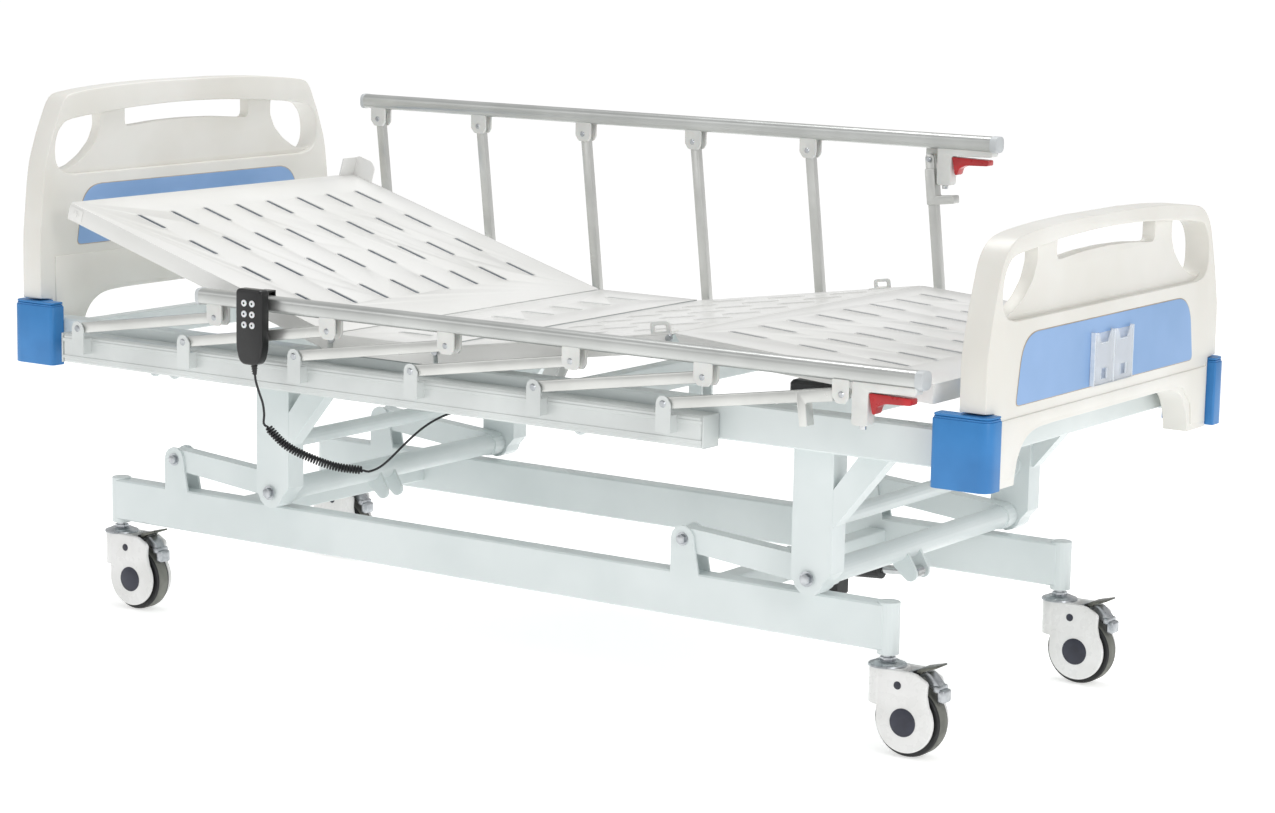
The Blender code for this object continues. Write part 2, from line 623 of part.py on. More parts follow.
# ---- castors ------------------------------------------------------------------------
def castor_fork(end, side_name):
    x, y = POST_X[end], SIDES[side_name] * BASE_RAIL_Y
    axle = (x + TRAIL, WHEEL_RADIUS)
    outline = [(x - 0.032, 0.148), (x - 0.032, 0.092), (x - 0.018, 0.040)]
    outline += arc(axle, 0.056, 205, 405, 12)
    outline += [(x + 0.066, 0.112), (x + 0.058, 0.122), (x + 0.040, 0.126), (x + 0.036, 0.148)]
    pieces = []
    for near, far in ((0.0215, 0.030), (-0.030, -0.0215)):
        pieces.append(plate(outline, "XZ", y + near, y + far))
    pieces.append(box((x - 0.032, y - 0.025, 0.130), (x + 0.035, y + 0.025, 0.148), 0.002))
    pieces.append(cylinder((x, y, 0.145), (x, y, 0.157), 0.024, sides=20))
    pieces.append(cylinder((x, y, 0.150), (x, y, CASTOR_TOP - GAP), 0.0085, sides=12))
    pieces.append(cylinder((axle[0], y - 0.025, axle[1]), (axle[0], y + 0.025, axle[1]), 0.0050, sides=16))
    node(f"castor_fork_{end}_{side_name}", COVER_PLASTIC, pieces, origin=(x, y, CASTOR_TOP))


def castor_wheel(end, side_name):
    """A turned tyre and hub with an axle bore."""
    x, y = POST_X[end] + TRAIL, SIDES[side_name] * BASE_RAIL_Y
    bore, half = 0.0056, 0.0160
    profile = [(bore, half), (0.040, half), (0.044, 0.0145), (0.0585, 0.0145)]
    profile += [(0.0615, 0.0100), (WHEEL_RADIUS, 0.0040)]
    profile += [(r, -w) for r, w in reversed(profile)]
    mesh = bpy.data.meshes.new("profile")
    obj = bpy.data.objects.new("profile", mesh)
    PARTS.objects.link(obj)
    shape = bmesh.new()
    ring = [shape.verts.new((r, 0.0, w)) for r, w in profile]
    for i, vert in enumerate(ring):
        shape.edges.new((vert, ring[(i + 1) % len(ring)]))
    shape.to_mesh(mesh)
    shape.free()
    screw = obj.modifiers.new("Turn", "SCREW")
    screw.axis = "Z"
    screw.steps = screw.render_steps = 32
    screw.use_merge_vertices = True
    screw.merge_threshold = 0.00001
    bpy.context.view_layer.update()
    graph = bpy.context.evaluated_depsgraph_get()
    turned_mesh = bpy.data.meshes.new_from_object(obj.evaluated_get(graph))
    bpy.data.objects.remove(obj)
    shape = bmesh.new()
    shape.from_mesh(turned_mesh)
    bmesh.ops.remove_doubles(shape, verts=shape.verts, dist=0.00001)
    bmesh.ops.recalc_face_normals(shape, faces=shape.faces)
    shape.to_mesh(turned_mesh)
    shape.free()
    wheel = bpy.data.objects.new("wheel", turned_mesh)
    PARTS.objects.link(wheel)
    moved(wheel, Matrix.Translation((x, y, WHEEL_RADIUS)) @ Matrix.Rotation(math.radians(90), 4, "X"))
    node(f"castor_wheel_{end}_{side_name}", TYRE_RUBBER, [wheel], origin=(x, y, WHEEL_RADIUS))


def brake_pedal(end, side_name):
    x, y = POST_X[end] + 0.049, SIDES[side_name] * BASE_RAIL_Y
    z = 0.139
    outline = arc((x, z), 0.009, 60, 270, 6)
    outline += [(x + 0.022, z - 0.009), (x + 0.056, z - 0.013), (x + 0.058, z - 0.007), (x + 0.024, z + 0.006)]
    node(f"brake_pedal_{end}_{side_name}", PEDAL_PLASTIC, [plate(outline, "XZ", y - 0.019, y + 0.019)], origin=(x, y, z))


# ---- handset and cord ---------------------------------------------------------------
def handset():
    low, high = HANDSET_Z
    front, back = HANDSET_Y
    x0, x1 = HANDSET_X - 0.031, HANDSET_X + 0.031
    outline = rounded([(x0, high), (x0, low), (x1, low), (x1, high)], 0.012)
    pieces = [plate(outline, "XZ", front, back)]
    hook = [(back - 0.004, high - 0.006), (-0.460, high - 0.006), (-0.460, 0.672)]
    hook += [(-0.4630, 0.672), (-0.4630, high - 0.0095), (back - 0.004, high - 0.0095)]
    pieces.append(plate(hook, "YZ", HANDSET_X - 0.012, HANDSET_X + 0.012))
    middle = (front + back) / 2
    relief = cylinder((HANDSET_X + 0.004, middle, low + 0.004), (HANDSET_X + 0.006, middle, low - 0.018), 0.006, 0.0034, 12)
    pieces.append(relief)
    holes = []
    for x, z in button_places():
        holes.append(cylinder((x, front - 0.001, z), (x, front + 0.003, z), 0.0052, sides=16))
    node("handset", HANDSET_PLASTIC, pieces, holes, origin=(HANDSET_X, back, high))


def button_places():
    return [(HANDSET_X + column * 0.0095, HANDSET_Z[1] - 0.026 - row * 0.020) for row in range(3) for column in (-1, 1)]


def handset_buttons():
    front = HANDSET_Y[0]
    names = ["back_up", "back_down", "knees_up", "knees_down", "height_up", "height_down"]
    for name, (x, z) in zip(names, button_places()):
        disc = cylinder((x, front - 0.0012, z), (x, front + 0.0016, z), 0.0047, sides=16)
        node(f"button_{name}", BUTTON_PLASTIC, [disc], origin=(x, front, z))


def smooth_route(points, spacing):
    """Points about spacing apart on a Catmull-Rom curve through the route's points."""
    route = [Vector(p) for p in points]
    padded = [2 * route[0] - route[1]] + route + [2 * route[-1] - route[-2]]
    dense = []
    for i in range(len(route) - 1):
        a, b, c, d = padded[i : i + 4]
        for k in range(40):
            t = k / 40
            dense.append(0.5 * ((2 * b) + (c - a) * t + (2 * a - 5 * b + 4 * c - d) * t**2 + (3 * b - a - 3 * c + d) * t**3))
    dense.append(route[-1])
    total = sum((q - p).length for p, q in zip(dense, dense[1:]))
    count = max(2, round(total / spacing))
    step, walked, target = total / count, 0.0, 0.0
    picked = []
    for p, q in zip(dense, dense[1:]):
        length = (q - p).length
        while len(picked) < count and walked + length >= target:
            picked.append(p.lerp(q, (target - walked) / length))
            target += step
        walked += length
    return picked + [dense[-1]]


def cord(name, points, radius, spacing, material):
    curve = bpy.data.curves.new(name, "CURVE")
    curve.dimensions = "3D"
    curve.bevel_depth = radius
    curve.bevel_resolution = 2
    curve.use_fill_caps = True
    route = smooth_route(points, spacing)
    spline = curve.splines.new("POLY")
    spline.points.add(len(route) - 1)
    for point, place in zip(spline.points, route):
        point.co = (*place, 1.0)
    obj = bpy.data.objects.new(name, curve)
    PARTS.objects.link(obj)
    curve.materials.append(material)


CORD_UPPER = (
    (-0.4040, -0.5120, 0.5395),
    (-0.4020, -0.5120, 0.528),
    (-0.3945, -0.5120, 0.509),
    (-0.3860, -0.5115, 0.489),
    (-0.3830, -0.5108, 0.469),
    (-0.3845, -0.5101, 0.4507),
    (-0.3796, -0.5074, 0.4456),
)
COIL_ROUTE = (
    (-0.3793, -0.5072, 0.4452),
    (-0.3470, -0.4900, 0.411),
    (-0.3120, -0.4620, 0.388),
    (-0.2790, -0.4320, 0.372),
    (-0.2390, -0.4000, 0.365),
)
CORD_LOWER = (
    (-0.2386, -0.3997, 0.3649),
    (-0.2293, -0.3923, 0.3633),
    (-0.2060, -0.3800, 0.3780),
    (-0.1640, -0.3580, 0.4260),
    (-0.1400, -0.3400, 0.4520),
    (-0.1180, -0.3120, 0.4700),
    (-0.0920, -0.2750, 0.4810),
    (-0.0740, -0.2590, 0.4878),
    (-0.0608, -0.2560, 0.4880),
)


# ---- build --------------------------------------------------------------------------
clear_scene()
PARTS = collection("adjustable_hospital_bed")
FRAME_PAINT = finish("frame powder coat", (0.66, 0.70, 0.69), 0.35)
DECK_PAINT = finish("deck powder coat", (0.86, 0.86, 0.85), 0.25)
BOARD_PLASTIC = finish("cream moulded plastic", (0.80, 0.79, 0.74), 0.35)
BUMPER_PLASTIC = finish("blue moulded plastic", (0.04, 0.22, 0.55), 0.35)
CLEAR_PLASTIC = finish("clear acrylic", (0.75, 0.85, 0.95), 0.1)
ALUMINIUM = finish("anodised aluminium", (0.62, 0.63, 0.62), 0.4, 0.9)
RED_PLASTIC = finish("red moulded plastic", (0.55, 0.01, 0.01), 0.35)
COVER_PLASTIC = finish("castor cover plastic", (0.80, 0.80, 0.78), 0.35)
TYRE_RUBBER = finish("tyre rubber", (0.05, 0.05, 0.045), 0.7)
PEDAL_PLASTIC = finish("pedal plastic", (0.06, 0.06, 0.06), 0.5)
MOTOR_PLASTIC = finish("actuator plastic", (0.02, 0.02, 0.02), 0.5)
STEEL = finish("bright steel", (0.60, 0.60, 0.60), 0.25, 1.0)
HANDSET_PLASTIC = finish("black handset plastic", (0.01, 0.01, 0.01), 0.4)
BUTTON_PLASTIC = finish("button plastic", (0.80, 0.80, 0.80), 0.4)

base_frame()
upper_frame()
back_panel()
thigh_panel()
calf_panel()
card_holder()
for end_name in ENDS:
    lift_arm(end_name)
    board(end_name)
    for rail_side in SIDES:
        bumper(end_name, rail_side)
        castor_fork(end_name, rail_side)
        castor_wheel(end_name, rail_side)
        brake_pedal(end_name, rail_side)
for rail_side in SIDES:
    rail_base(rail_side)
    rail_top(rail_side)
    for bar_index in range(RAIL_BARS):
        rail_bar(rail_side, bar_index)
LIFT_BASE = (0.500, LIFT_ACTUATOR_Y, 0.235)
LIFT_TIP = (LIFT_PIVOT_X["foot"] + LEVER_TIP.x, LIFT_ACTUATOR_Y, LIFT_PIVOT_Z + LEVER_TIP.z)
actuator("lift_actuator", LIFT_BASE, LIFT_TIP, 0.165, 0.018, 0.028, ((0.020, -0.025, -0.052), (0.085, 0.025, -0.010)))
actuator(
    "back_actuator", BACK_ACTUATOR_BASE, BACK_LEVER_TIP, 0.360, 0.020, 0.080,
    ((-0.300, -0.035, -0.058), (-0.200, 0.030, -0.012)), slot=0.055,
)
actuator(
    "leg_actuator", LEG_ACTUATOR_BASE, LEG_LEVER_TIP, 0.260, 0.020, 0.034,
    ((-0.130, -0.040, 0.008), (-0.040, 0.035, 0.075)), slot=0.078,
)
handset()
handset_buttons()
cord("cord_upper", CORD_UPPER, CORD_RADIUS, 0.011, HANDSET_PLASTIC)
cord("cord_coil", COIL_ROUTE, COIL_RADIUS, 0.022, HANDSET_PLASTIC)
cord("cord_lower", CORD_LOWER, CORD_RADIUS, 0.011, HANDSET_PLASTIC)
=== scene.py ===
"""Adjustable hospital bed: the looks of its frame, deck, boards, rails, castors, motors and handset."""

import math

import bpy
from bpy.props import FloatProperty, FloatVectorProperty, PointerProperty
from mathutils import Matrix, Vector


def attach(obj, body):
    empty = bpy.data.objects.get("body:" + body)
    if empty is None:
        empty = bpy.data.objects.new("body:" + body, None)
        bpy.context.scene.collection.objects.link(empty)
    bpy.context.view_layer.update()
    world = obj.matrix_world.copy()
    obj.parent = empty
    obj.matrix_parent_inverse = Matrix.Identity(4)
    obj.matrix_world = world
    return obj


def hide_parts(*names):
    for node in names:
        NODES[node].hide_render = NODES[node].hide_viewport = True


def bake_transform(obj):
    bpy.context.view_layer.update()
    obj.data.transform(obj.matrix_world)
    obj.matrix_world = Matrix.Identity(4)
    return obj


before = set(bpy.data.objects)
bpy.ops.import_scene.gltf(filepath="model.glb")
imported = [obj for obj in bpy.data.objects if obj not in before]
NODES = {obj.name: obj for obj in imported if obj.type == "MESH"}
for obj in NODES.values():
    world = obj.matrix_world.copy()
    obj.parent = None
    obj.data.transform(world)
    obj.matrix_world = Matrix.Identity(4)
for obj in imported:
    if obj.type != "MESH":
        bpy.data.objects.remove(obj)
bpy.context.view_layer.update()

bl_info = {
    "name": "Adjustable hospital bed",
    "version": (1, 0, 0),
    "blender": (4, 5, 0),
    "location": "View3D > Sidebar > Bed",
    "description": "Builds the visible pieces and finishes of an adjustable hospital bed",
    "category": "Object",
}

SIDES = {"right": -1, "left": 1}
ENDS = {"head": -1, "foot": 1}


# ---- materials ------------------------------------------------------------------------
def linear(hex_code):
    """An sRGB hex value as linear red, green, blue and alpha."""
    channels = [int(hex_code[i : i + 2], 16) / 255 for i in (0, 2, 4)]
    return [c / 12.92 if c <= 0.04045 else ((c + 0.055) / 1.055) ** 2.4 for c in channels] + [1.0]


def add(tree, kind, settings=None, **links):
    """A node with its settings, and its sockets set to values or fed by (node, output) pairs."""
    node = tree.nodes.new(kind)
    for key, value in (settings or {}).items():
        setattr(node, key, value)
    for socket, value in links.items():
        name = socket.replace("_", " ")
        target = node.inputs[int(name[1:])] if name[:1] == "i" and name[1:].isdigit() else node.inputs[name]
        if isinstance(value, tuple) and isinstance(value[0], bpy.types.Node):
            tree.links.new(value[0].outputs[value[1]], target)
        else:
            target.default_value = value
    return node


def new_material(name, base, roughness, metallic=0.0, **sockets):
    material = bpy.data.materials.new(name)
    material.use_nodes = True
    shader = material.node_tree.nodes["Principled BSDF"]
    shader.inputs["Base Color"].default_value = linear(base)
    shader.inputs["Roughness"].default_value = roughness
    shader.inputs["Metallic"].default_value = metallic
    for socket, value in sockets.items():
        shader.inputs[socket.replace("_", " ")].default_value = value
    return material, material.node_tree, shader


def mottle(tree, shader, light, dark, metres, spread=(0.35, 0.65)):
    """Slow colour variation between two close tones, metres across."""
    place = add(tree, "ShaderNodeTexCoord")
    noise = add(tree, "ShaderNodeTexNoise", Vector=(place, "Object"), Scale=1 / metres, Detail=3.0)
    ramp = add(tree, "ShaderNodeValToRGB", Fac=(noise, "Fac"))
    ramp.color_ramp.elements[0].position, ramp.color_ramp.elements[1].position = spread
    ramp.color_ramp.elements[0].color = linear(dark)
    ramp.color_ramp.elements[1].color = linear(light)
    tree.links.new(ramp.outputs["Color"], shader.inputs["Base Color"])
    return place


def vary_roughness(tree, shader, place, low, high, metres):
    noise = add(tree, "ShaderNodeTexNoise", Vector=(place, "Object"), Scale=1 / metres, Detail=4.0)
    span = add(tree, "ShaderNodeMapRange", Value=(noise, "Fac"), To_Min=low, To_Max=high)
    tree.links.new(span.outputs["Result"], shader.inputs["Roughness"])


def grain(tree, shader, place, metres, depth, strength=0.35, stretch=(1, 1, 1)):
    """A fine bump of that size and depth; stretch below 1 draws it out along an axis."""
    mapping = add(tree, "ShaderNodeMapping", Vector=(place, "Object"), Scale=stretch)
    noise = add(tree, "ShaderNodeTexNoise", Vector=(mapping, "Vector"), Scale=1 / metres, Detail=2.0)
    bump = add(tree, "ShaderNodeBump", Height=(noise, "Fac"), Distance=depth, Strength=strength)
    tree.links.new(bump.outputs["Normal"], shader.inputs["Normal"])


def make_materials():
    made = {}

    # Polyester powder coat on welded steel: satin, with a faint orange-peel ripple about 2 mm across.
    m, t, s = new_material("powder coated steel tube", "DCE3E3", 0.34, Coat_Weight=0.25, Coat_Roughness=0.2)
    p = mottle(t, s, "E0E7E7", "D6DEDE", 0.20)
    vary_roughness(t, s, p, 0.28, 0.42, 0.05)
    grain(t, s, p, 0.0022, 0.00006)
    made["frame"] = m

    # High-gloss powder coat on pressed sheet: bright white, with a clear sheen that mirrors the rails.
    m, t, s = new_material("gloss powder coated sheet", "E9E9E7", 0.30, Coat_Weight=0.25, Coat_Roughness=0.12)
    p = mottle(t, s, "EDEDEB", "E4E4E1", 0.30)
    vary_roughness(t, s, p, 0.26, 0.36, 0.08)
    made["deck"] = m

    # Pressed collars inside the slots, in the deck's own coat: thin, and painted dark grey as the shade that
    # falls on them inside the slots.
    m, t, s = new_material("slot collar with painted shade", "7C848F", 0.45)
    p = mottle(t, s, "868E99", "6E7682", 0.02)
    vary_roughness(t, s, p, 0.40, 0.55, 0.02)
    made["collar"] = m

    # Blow-moulded polyethylene board: creamy and satin, with a fine leather-like mould texture of 1.2 mm.
    m, t, s = new_material("blow moulded cream board", "E5E4DE", 0.34, Subsurface_Weight=0.02)
    s.inputs["Subsurface Scale"].default_value = 0.004
    p = mottle(t, s, "E8E7E2", "DFDDD6", 0.25)
    vary_roughness(t, s, p, 0.28, 0.42, 0.03)
    grain(t, s, p, 0.0016, 0.00012, 0.35)
    made["cream"] = m

    # The board's coloured inlay: the same plastic, tinted periwinkle blue.
    m, t, s = new_material("blow moulded blue inlay", "84A9D6", 0.40)
    p = mottle(t, s, "8BAEDB", "7EA3D0", 0.20)
    vary_roughness(t, s, p, 0.34, 0.48, 0.03)
    grain(t, s, p, 0.0016, 0.00012, 0.35)
    made["inlay"] = m

    # Bumpers in injection-moulded polypropylene: a stronger blue with a satin skin.
    m, t, s = new_material("moulded blue bumper", "2F7CBF", 0.36)
    p = mottle(t, s, "3683C5", "2C76B6", 0.10)
    vary_roughness(t, s, p, 0.30, 0.44, 0.02)
    grain(t, s, p, 0.0018, 0.00012, 0.35)
    made["bumper"] = m

    # Silver anodised extrusion: a soft metallic grey with fine drawing lines along the length.
    m, t, s = new_material("silver anodised extrusion", "C2C4C2", 0.33, metallic=0.85)
    p = mottle(t, s, "C8CAC8", "BABCBA", 0.15)
    vary_roughness(t, s, p, 0.26, 0.40, 0.03)
    grain(t, s, p, 0.0012, 0.00005, 0.35, (0.03, 1, 1))
    made["anodised"] = m

    # Bars between the rails: flat anodised strip, a little lighter and smoother.
    m, t, s = new_material("silver anodised bar", "D2D3D0", 0.30, metallic=0.75)
    p = mottle(t, s, "D7D8D5", "CACBC8", 0.10)
    vary_roughness(t, s, p, 0.24, 0.36, 0.03)
    made["bar"] = m

    # White nylon blocks and caps: moulded, slightly waxy.
    m, t, s = new_material("moulded white nylon", "DDDEDB", 0.42, Subsurface_Weight=0.05)
    s.inputs["Subsurface Scale"].default_value = 0.002
    p = mottle(t, s, "E1E2DF", "D5D6D3", 0.05)
    grain(t, s, p, 0.0012, 0.00006)
    made["nylon"] = m

    # Red trigger: gloss moulded ABS, whose clear skin keeps a sharp highlight.
    m, t, s = new_material("moulded red trigger", "B8141B", 0.28, Coat_Weight=0.3)
    p = mottle(t, s, "C0171E", "AA1117", 0.03)
    vary_roughness(t, s, p, 0.22, 0.36, 0.01)
    made["red"] = m

    # Castor covers: off-white ABS, gloss moulded, so the studio lights draw soft streaks on them.
    m, t, s = new_material("moulded castor cover", "E9E9E8", 0.24, Coat_Weight=0.3)
    p = mottle(t, s, "ECECEB", "E2E2E0", 0.06)
    vary_roughness(t, s, p, 0.22, 0.34, 0.02)
    made["cover"] = m

    # Hub caps: dark blue-grey ABS, moulded with a satin face.
    m, t, s = new_material("moulded dark hub", "2C2E3C", 0.35)
    p = mottle(t, s, "313342", "262834", 0.03)
    vary_roughness(t, s, p, 0.28, 0.44, 0.01)
    made["hub"] = m

    # Tyres: thermoplastic rubber, mid-dark grey and matt, with a dusty tread.
    m, t, s = new_material("grey castor tyre", "77786F", 0.72)
    p = mottle(t, s, "80817A", "6B6C66", 0.03)
    vary_roughness(t, s, p, 0.62, 0.82, 0.01)
    grain(t, s, p, 0.0009, 0.00010, 0.5)
    made["tyre"] = m

    # Pedal treads: dark plated steel.
    m, t, s = new_material("dark plated pedal", "6A6B64", 0.34, metallic=0.85)
    p = mottle(t, s, "74756E", "5C5D57", 0.01)
    vary_roughness(t, s, p, 0.28, 0.46, 0.006)
    made["pedal"] = m

    # Rail base profile: aluminium extrusion with pale matt anodising, so it looks almost white.
    m, t, s = new_material("pale matt profile", "D6DAD9", 0.42, metallic=0.35)
    p = mottle(t, s, "DBDFDE", "CED2D1", 0.15)
    vary_roughness(t, s, p, 0.36, 0.50, 0.03)
    grain(t, s, p, 0.0012, 0.00004, 0.3, (0.03, 1, 1))
    made["profile"] = m

    # Zinc-plated steel: bright and slightly cloudy.
    m, t, s = new_material("zinc plated steel", "B9BCC0", 0.28, metallic=1.0)
    p = mottle(t, s, "C4C7CA", "A6AAAE", 0.012)
    vary_roughness(t, s, p, 0.20, 0.42, 0.006)
    made["zinc"] = m

    # Polished steel rods: ground along the length.
    m, t, s = new_material("ground steel rod", "C9CBCC", 0.16, metallic=1.0)
    p = mottle(t, s, "CFD1D2", "BFC1C2", 0.02)
    grain(t, s, p, 0.0008, 0.00003, 0.3, (0.05, 1, 1))
    made["steel"] = m

    # Black mouldings: motor housings, tube plugs, wheel sides and pedal pins, with a fine spark texture.
    m, t, s = new_material("black moulded housing", "17181A", 0.46)
    p = mottle(t, s, "1C1D1F", "121314", 0.04)
    vary_roughness(t, s, p, 0.38, 0.56, 0.01)
    grain(t, s, p, 0.0011, 0.00010, 0.4)
    made["black"] = m

    # Handset shell: smoother black ABS.
    m, t, s = new_material("black handset shell", "0A0B0D", 0.30, Coat_Weight=0.15)
    p = mottle(t, s, "0D0E10", "070809", 0.02)
    vary_roughness(t, s, p, 0.24, 0.38, 0.006)
    made["handset"] = m

    # Handset keys: white silicone, slightly soft.
    m, t, s = new_material("white silicone key", "E4E6E8", 0.45, Subsurface_Weight=0.1)
    s.inputs["Subsurface Scale"].default_value = 0.001
    mottle(t, s, "E8EAEC", "DCDFE2", 0.004)
    made["key"] = m

    # Cable sheath: black PVC with a slight sheen along the coils.
    m, t, s = new_material("black cable sheath", "15161A", 0.42)
    p = mottle(t, s, "1A1B20", "101114", 0.01)
    vary_roughness(t, s, p, 0.34, 0.50, 0.004)
    made["cable"] = m

    # Card holder: clear acrylic with faint cloudiness.
    m, t, s = new_material("clear acrylic", "F4F8FC", 0.08, Alpha=0.30, IOR=1.49)
    place = add(t, "ShaderNodeTexCoord")
    vary_roughness(t, s, place, 0.05, 0.12, 0.02)
    made["acrylic"] = m

    # Sawn edges of the acrylic: brighter, because light gathers there.
    m, t, s = new_material("bright acrylic edge", "F2F7FC", 0.20, Alpha=0.80, IOR=1.49)
    mottle(t, s, "F6FAFE", "E6EEF6", 0.01)
    made["acrylic_edge"] = m

    # The seam round the inlay, where glue shows as a thin tan line.
    m, t, s = new_material("inlay seam", "B7A58E", 0.55)
    mottle(t, s, "BDAB95", "A8967F", 0.02)
    made["seam"] = m

    # Control box and mattress stops: light grey ABS.
    m, t, s = new_material("light grey moulding", "C6CACC", 0.42)
    p = mottle(t, s, "CBCFD1", "BEC2C4", 0.05)
    grain(t, s, p, 0.0012, 0.00008)
    made["grey"] = m

    # Studio sweep: matt white, and lit a little from within so that it fades into the background.
    m, t, s = new_material("white studio floor", "F4F4F3", 0.85)
    mottle(t, s, "F6F6F5", "F1F1F0", 0.8)
    s.inputs["Emission Color"].default_value = (1.0, 1.0, 1.0, 1.0)
    s.inputs["Emission Strength"].default_value = 0.50
    made["floor"] = m
    return made


# ---- modelling helpers ----------------------------------------------------------------
def nothing_selected():
    if bpy.context.object and bpy.context.object.mode != "OBJECT":
        bpy.ops.object.mode_set(mode="OBJECT")
    bpy.ops.object.select_all(action="DESELECT")


def only(obj):
    nothing_selected()
    obj.select_set(True)
    bpy.context.view_layer.objects.active = obj
    return obj


def modifier(obj, kind, **settings):
    """Adds a modifier and applies it."""
    only(obj)
    added = obj.modifiers.new(kind.title(), kind)
    for key, value in settings.items():
        setattr(added, key, value)
    bpy.ops.object.modifier_apply(modifier=added.name)
    return obj


def rounded(obj, width, segments=3, angle=35):
    return modifier(
        obj, "BEVEL", width=width, segments=segments, limit_method="ANGLE", angle_limit=math.radians(angle)
    )


def block(lo, hi, radius=0.0, segments=2):
    """A box from corner to corner with rounded edges."""
    lo, hi = Vector(lo), Vector(hi)
    nothing_selected()
    bpy.ops.mesh.primitive_cube_add(size=1, location=(lo + hi) / 2, scale=hi - lo)
    bpy.ops.object.transform_apply(location=True, rotation=True, scale=True)
    made = bpy.context.object
    return rounded(made, radius, segments) if radius else made


def rod(start, end, radius, sides=24, end_radius=None, bevel=0.0):
    """A round bar, or a cone where end_radius differs."""
    start, end = Vector(start), Vector(end)
    along = end - start
    nothing_selected()
    bpy.ops.mesh.primitive_cone_add(
        vertices=sides,
        radius1=radius,
        radius2=radius if end_radius is None else end_radius,
        depth=along.length,
        location=(start + end) / 2,
        rotation=along.to_track_quat("Z", "Y").to_euler(),
    )
    bpy.ops.object.transform_apply(location=True, rotation=True, scale=True)
    made = bpy.context.object
    return rounded(made, bevel, 2) if bevel else made


def arc(centre, radius, degrees):
    """Points round a centre, one for each angle in degrees."""
    return [
        (centre[0] + radius * math.cos(math.radians(a)), centre[1] + radius * math.sin(math.radians(a)))
        for a in degrees
    ]


def span(sign, near, far):
    """The lower and the upper of two distances from the middle, on one side of it."""
    return sorted((sign * near, sign * far))


PLANES = {
    "XZ": Matrix(((1, 0, 0, 0), (0, 0, 1, 0), (0, 1, 0, 0), (0, 0, 0, 1))),
    "YZ": Matrix(((0, 0, 1, 0), (1, 0, 0, 0), (0, 1, 0, 0), (0, 0, 0, 1))),
    "XY": Matrix.Identity(4),
}


def sheet(outline, plane, lo, hi, bevel=0.0, segments=3, inner=()):
    """A flat outline, with inner outlines as holes, from lo to hi along its normal."""
    curve = bpy.data.curves.new("outline", "CURVE")
    curve.dimensions = "2D"
    curve.fill_mode = "BOTH"
    curve.extrude = (hi - lo) / 2
    for loop in (outline, *inner):
        spline = curve.splines.new("POLY")
        spline.points.add(len(loop) - 1)
        for point, (u, v) in zip(spline.points, loop):
            point.co = (u, v, 0.0, 1.0)
        spline.use_cyclic_u = True
    made = bpy.data.objects.new("outline", curve)
    bpy.context.scene.collection.objects.link(made)
    only(made)
    bpy.ops.object.convert(target="MESH")
    made = bpy.context.object
    made.data.transform(PLANES[plane] @ Matrix.Translation((0, 0, (lo + hi) / 2)))
    bpy.ops.object.mode_set(mode="EDIT")
    bpy.ops.mesh.select_all(action="SELECT")
    bpy.ops.mesh.remove_doubles(threshold=0.00002)
    bpy.ops.mesh.dissolve_limited(angle_limit=0.002)
    bpy.ops.mesh.normals_make_consistent(inside=False)
    bpy.ops.object.mode_set(mode="OBJECT")
    return rounded(made, bevel, segments) if bevel else made


def joined(pieces):
    """Several shapes as one object."""
    if len(pieces) > 1:
        nothing_selected()
        for piece in pieces:
            piece.select_set(True)
        bpy.context.view_layer.objects.active = pieces[0]
        bpy.ops.object.join()
    return pieces[0]


def turned(obj, angle, pivot):
    """Turned about the Y axis through the pivot; a positive angle lifts its +X end."""
    pivot = Vector(pivot)
    turn = Matrix.Rotation(-angle, 4, "Y")
    obj.data.transform(Matrix.Translation(pivot) @ turn @ Matrix.Translation(-pivot))
    return obj


def shifted(obj, offset):
    obj.data.transform(Matrix.Translation(offset))
    return obj


def piece(name, material, body, slot, shapes, replaces=(), smooth=35):
    """Names the joined shapes, gives them their finish and puts them on their body."""
    made = joined(list(shapes))
    made.name = made.data.name = name
    made.data.materials.clear()
    made.data.materials.append(FINISH[material])
    only(made)
    bpy.ops.object.shade_smooth_by_angle(angle=math.radians(smooth))
    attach(made, body)
    if replaces:
        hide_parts(*replaces)
    return made


def corner_curve(corners, radius, steps=5):
    """The outline with each corner rounded; radius is one number or one for each corner."""
    points = []
    radii = radius if isinstance(radius, (list, tuple)) else [radius] * len(corners)
    for i, corner in enumerate(corners):
        corner = Vector(corner)
        before, after = Vector(corners[i - 1]), Vector(corners[(i + 1) % len(corners)])
        start = corner + (before - corner).normalized() * radii[i]
        end = corner + (after - corner).normalized() * radii[i]
        for k in range(steps + 1):
            t = k / steps
            p = start * (1 - t) ** 2 + corner * 2 * t * (1 - t) + end * t**2
            points.append((p.x, p.y))
    return points


def smooth_line(points, steps):
    """A smooth open curve through the points, with that many steps between each two of them."""
    line = [Vector(p) for p in points]
    padded = [2 * line[0] - line[1]] + line + [2 * line[-1] - line[-2]]
    dense = []
    for i in range(len(line) - 1):
        a, b, c, d = padded[i : i + 4]
        bend = 2 * a - 5 * b + 4 * c - d
        twist = 3 * b - a - 3 * c + d
        for k in range(steps):
            t = k / steps
            dense.append(0.5 * (2 * b + (c - a) * t + bend * t**2 + twist * t**3))
    return dense + [line[-1]]


def smooth_route(points, spacing):
    """Points about spacing apart on a smooth curve through the route's points."""
    dense = smooth_line(points, 40)
    total = sum((q - p).length for p, q in zip(dense, dense[1:]))
    count = max(2, round(total / spacing))
    step, walked, target = total / count, 0.0, 0.0
    picked = []
    for p, q in zip(dense, dense[1:]):
        length = (q - p).length
        while len(picked) < count and walked + length >= target:
            picked.append(p.lerp(q, (target - walked) / length))
            target += step
        walked += length
    return picked + [dense[-1]]


def route_length(points):
    return sum((q - p).length for p, q in zip(points, points[1:]))


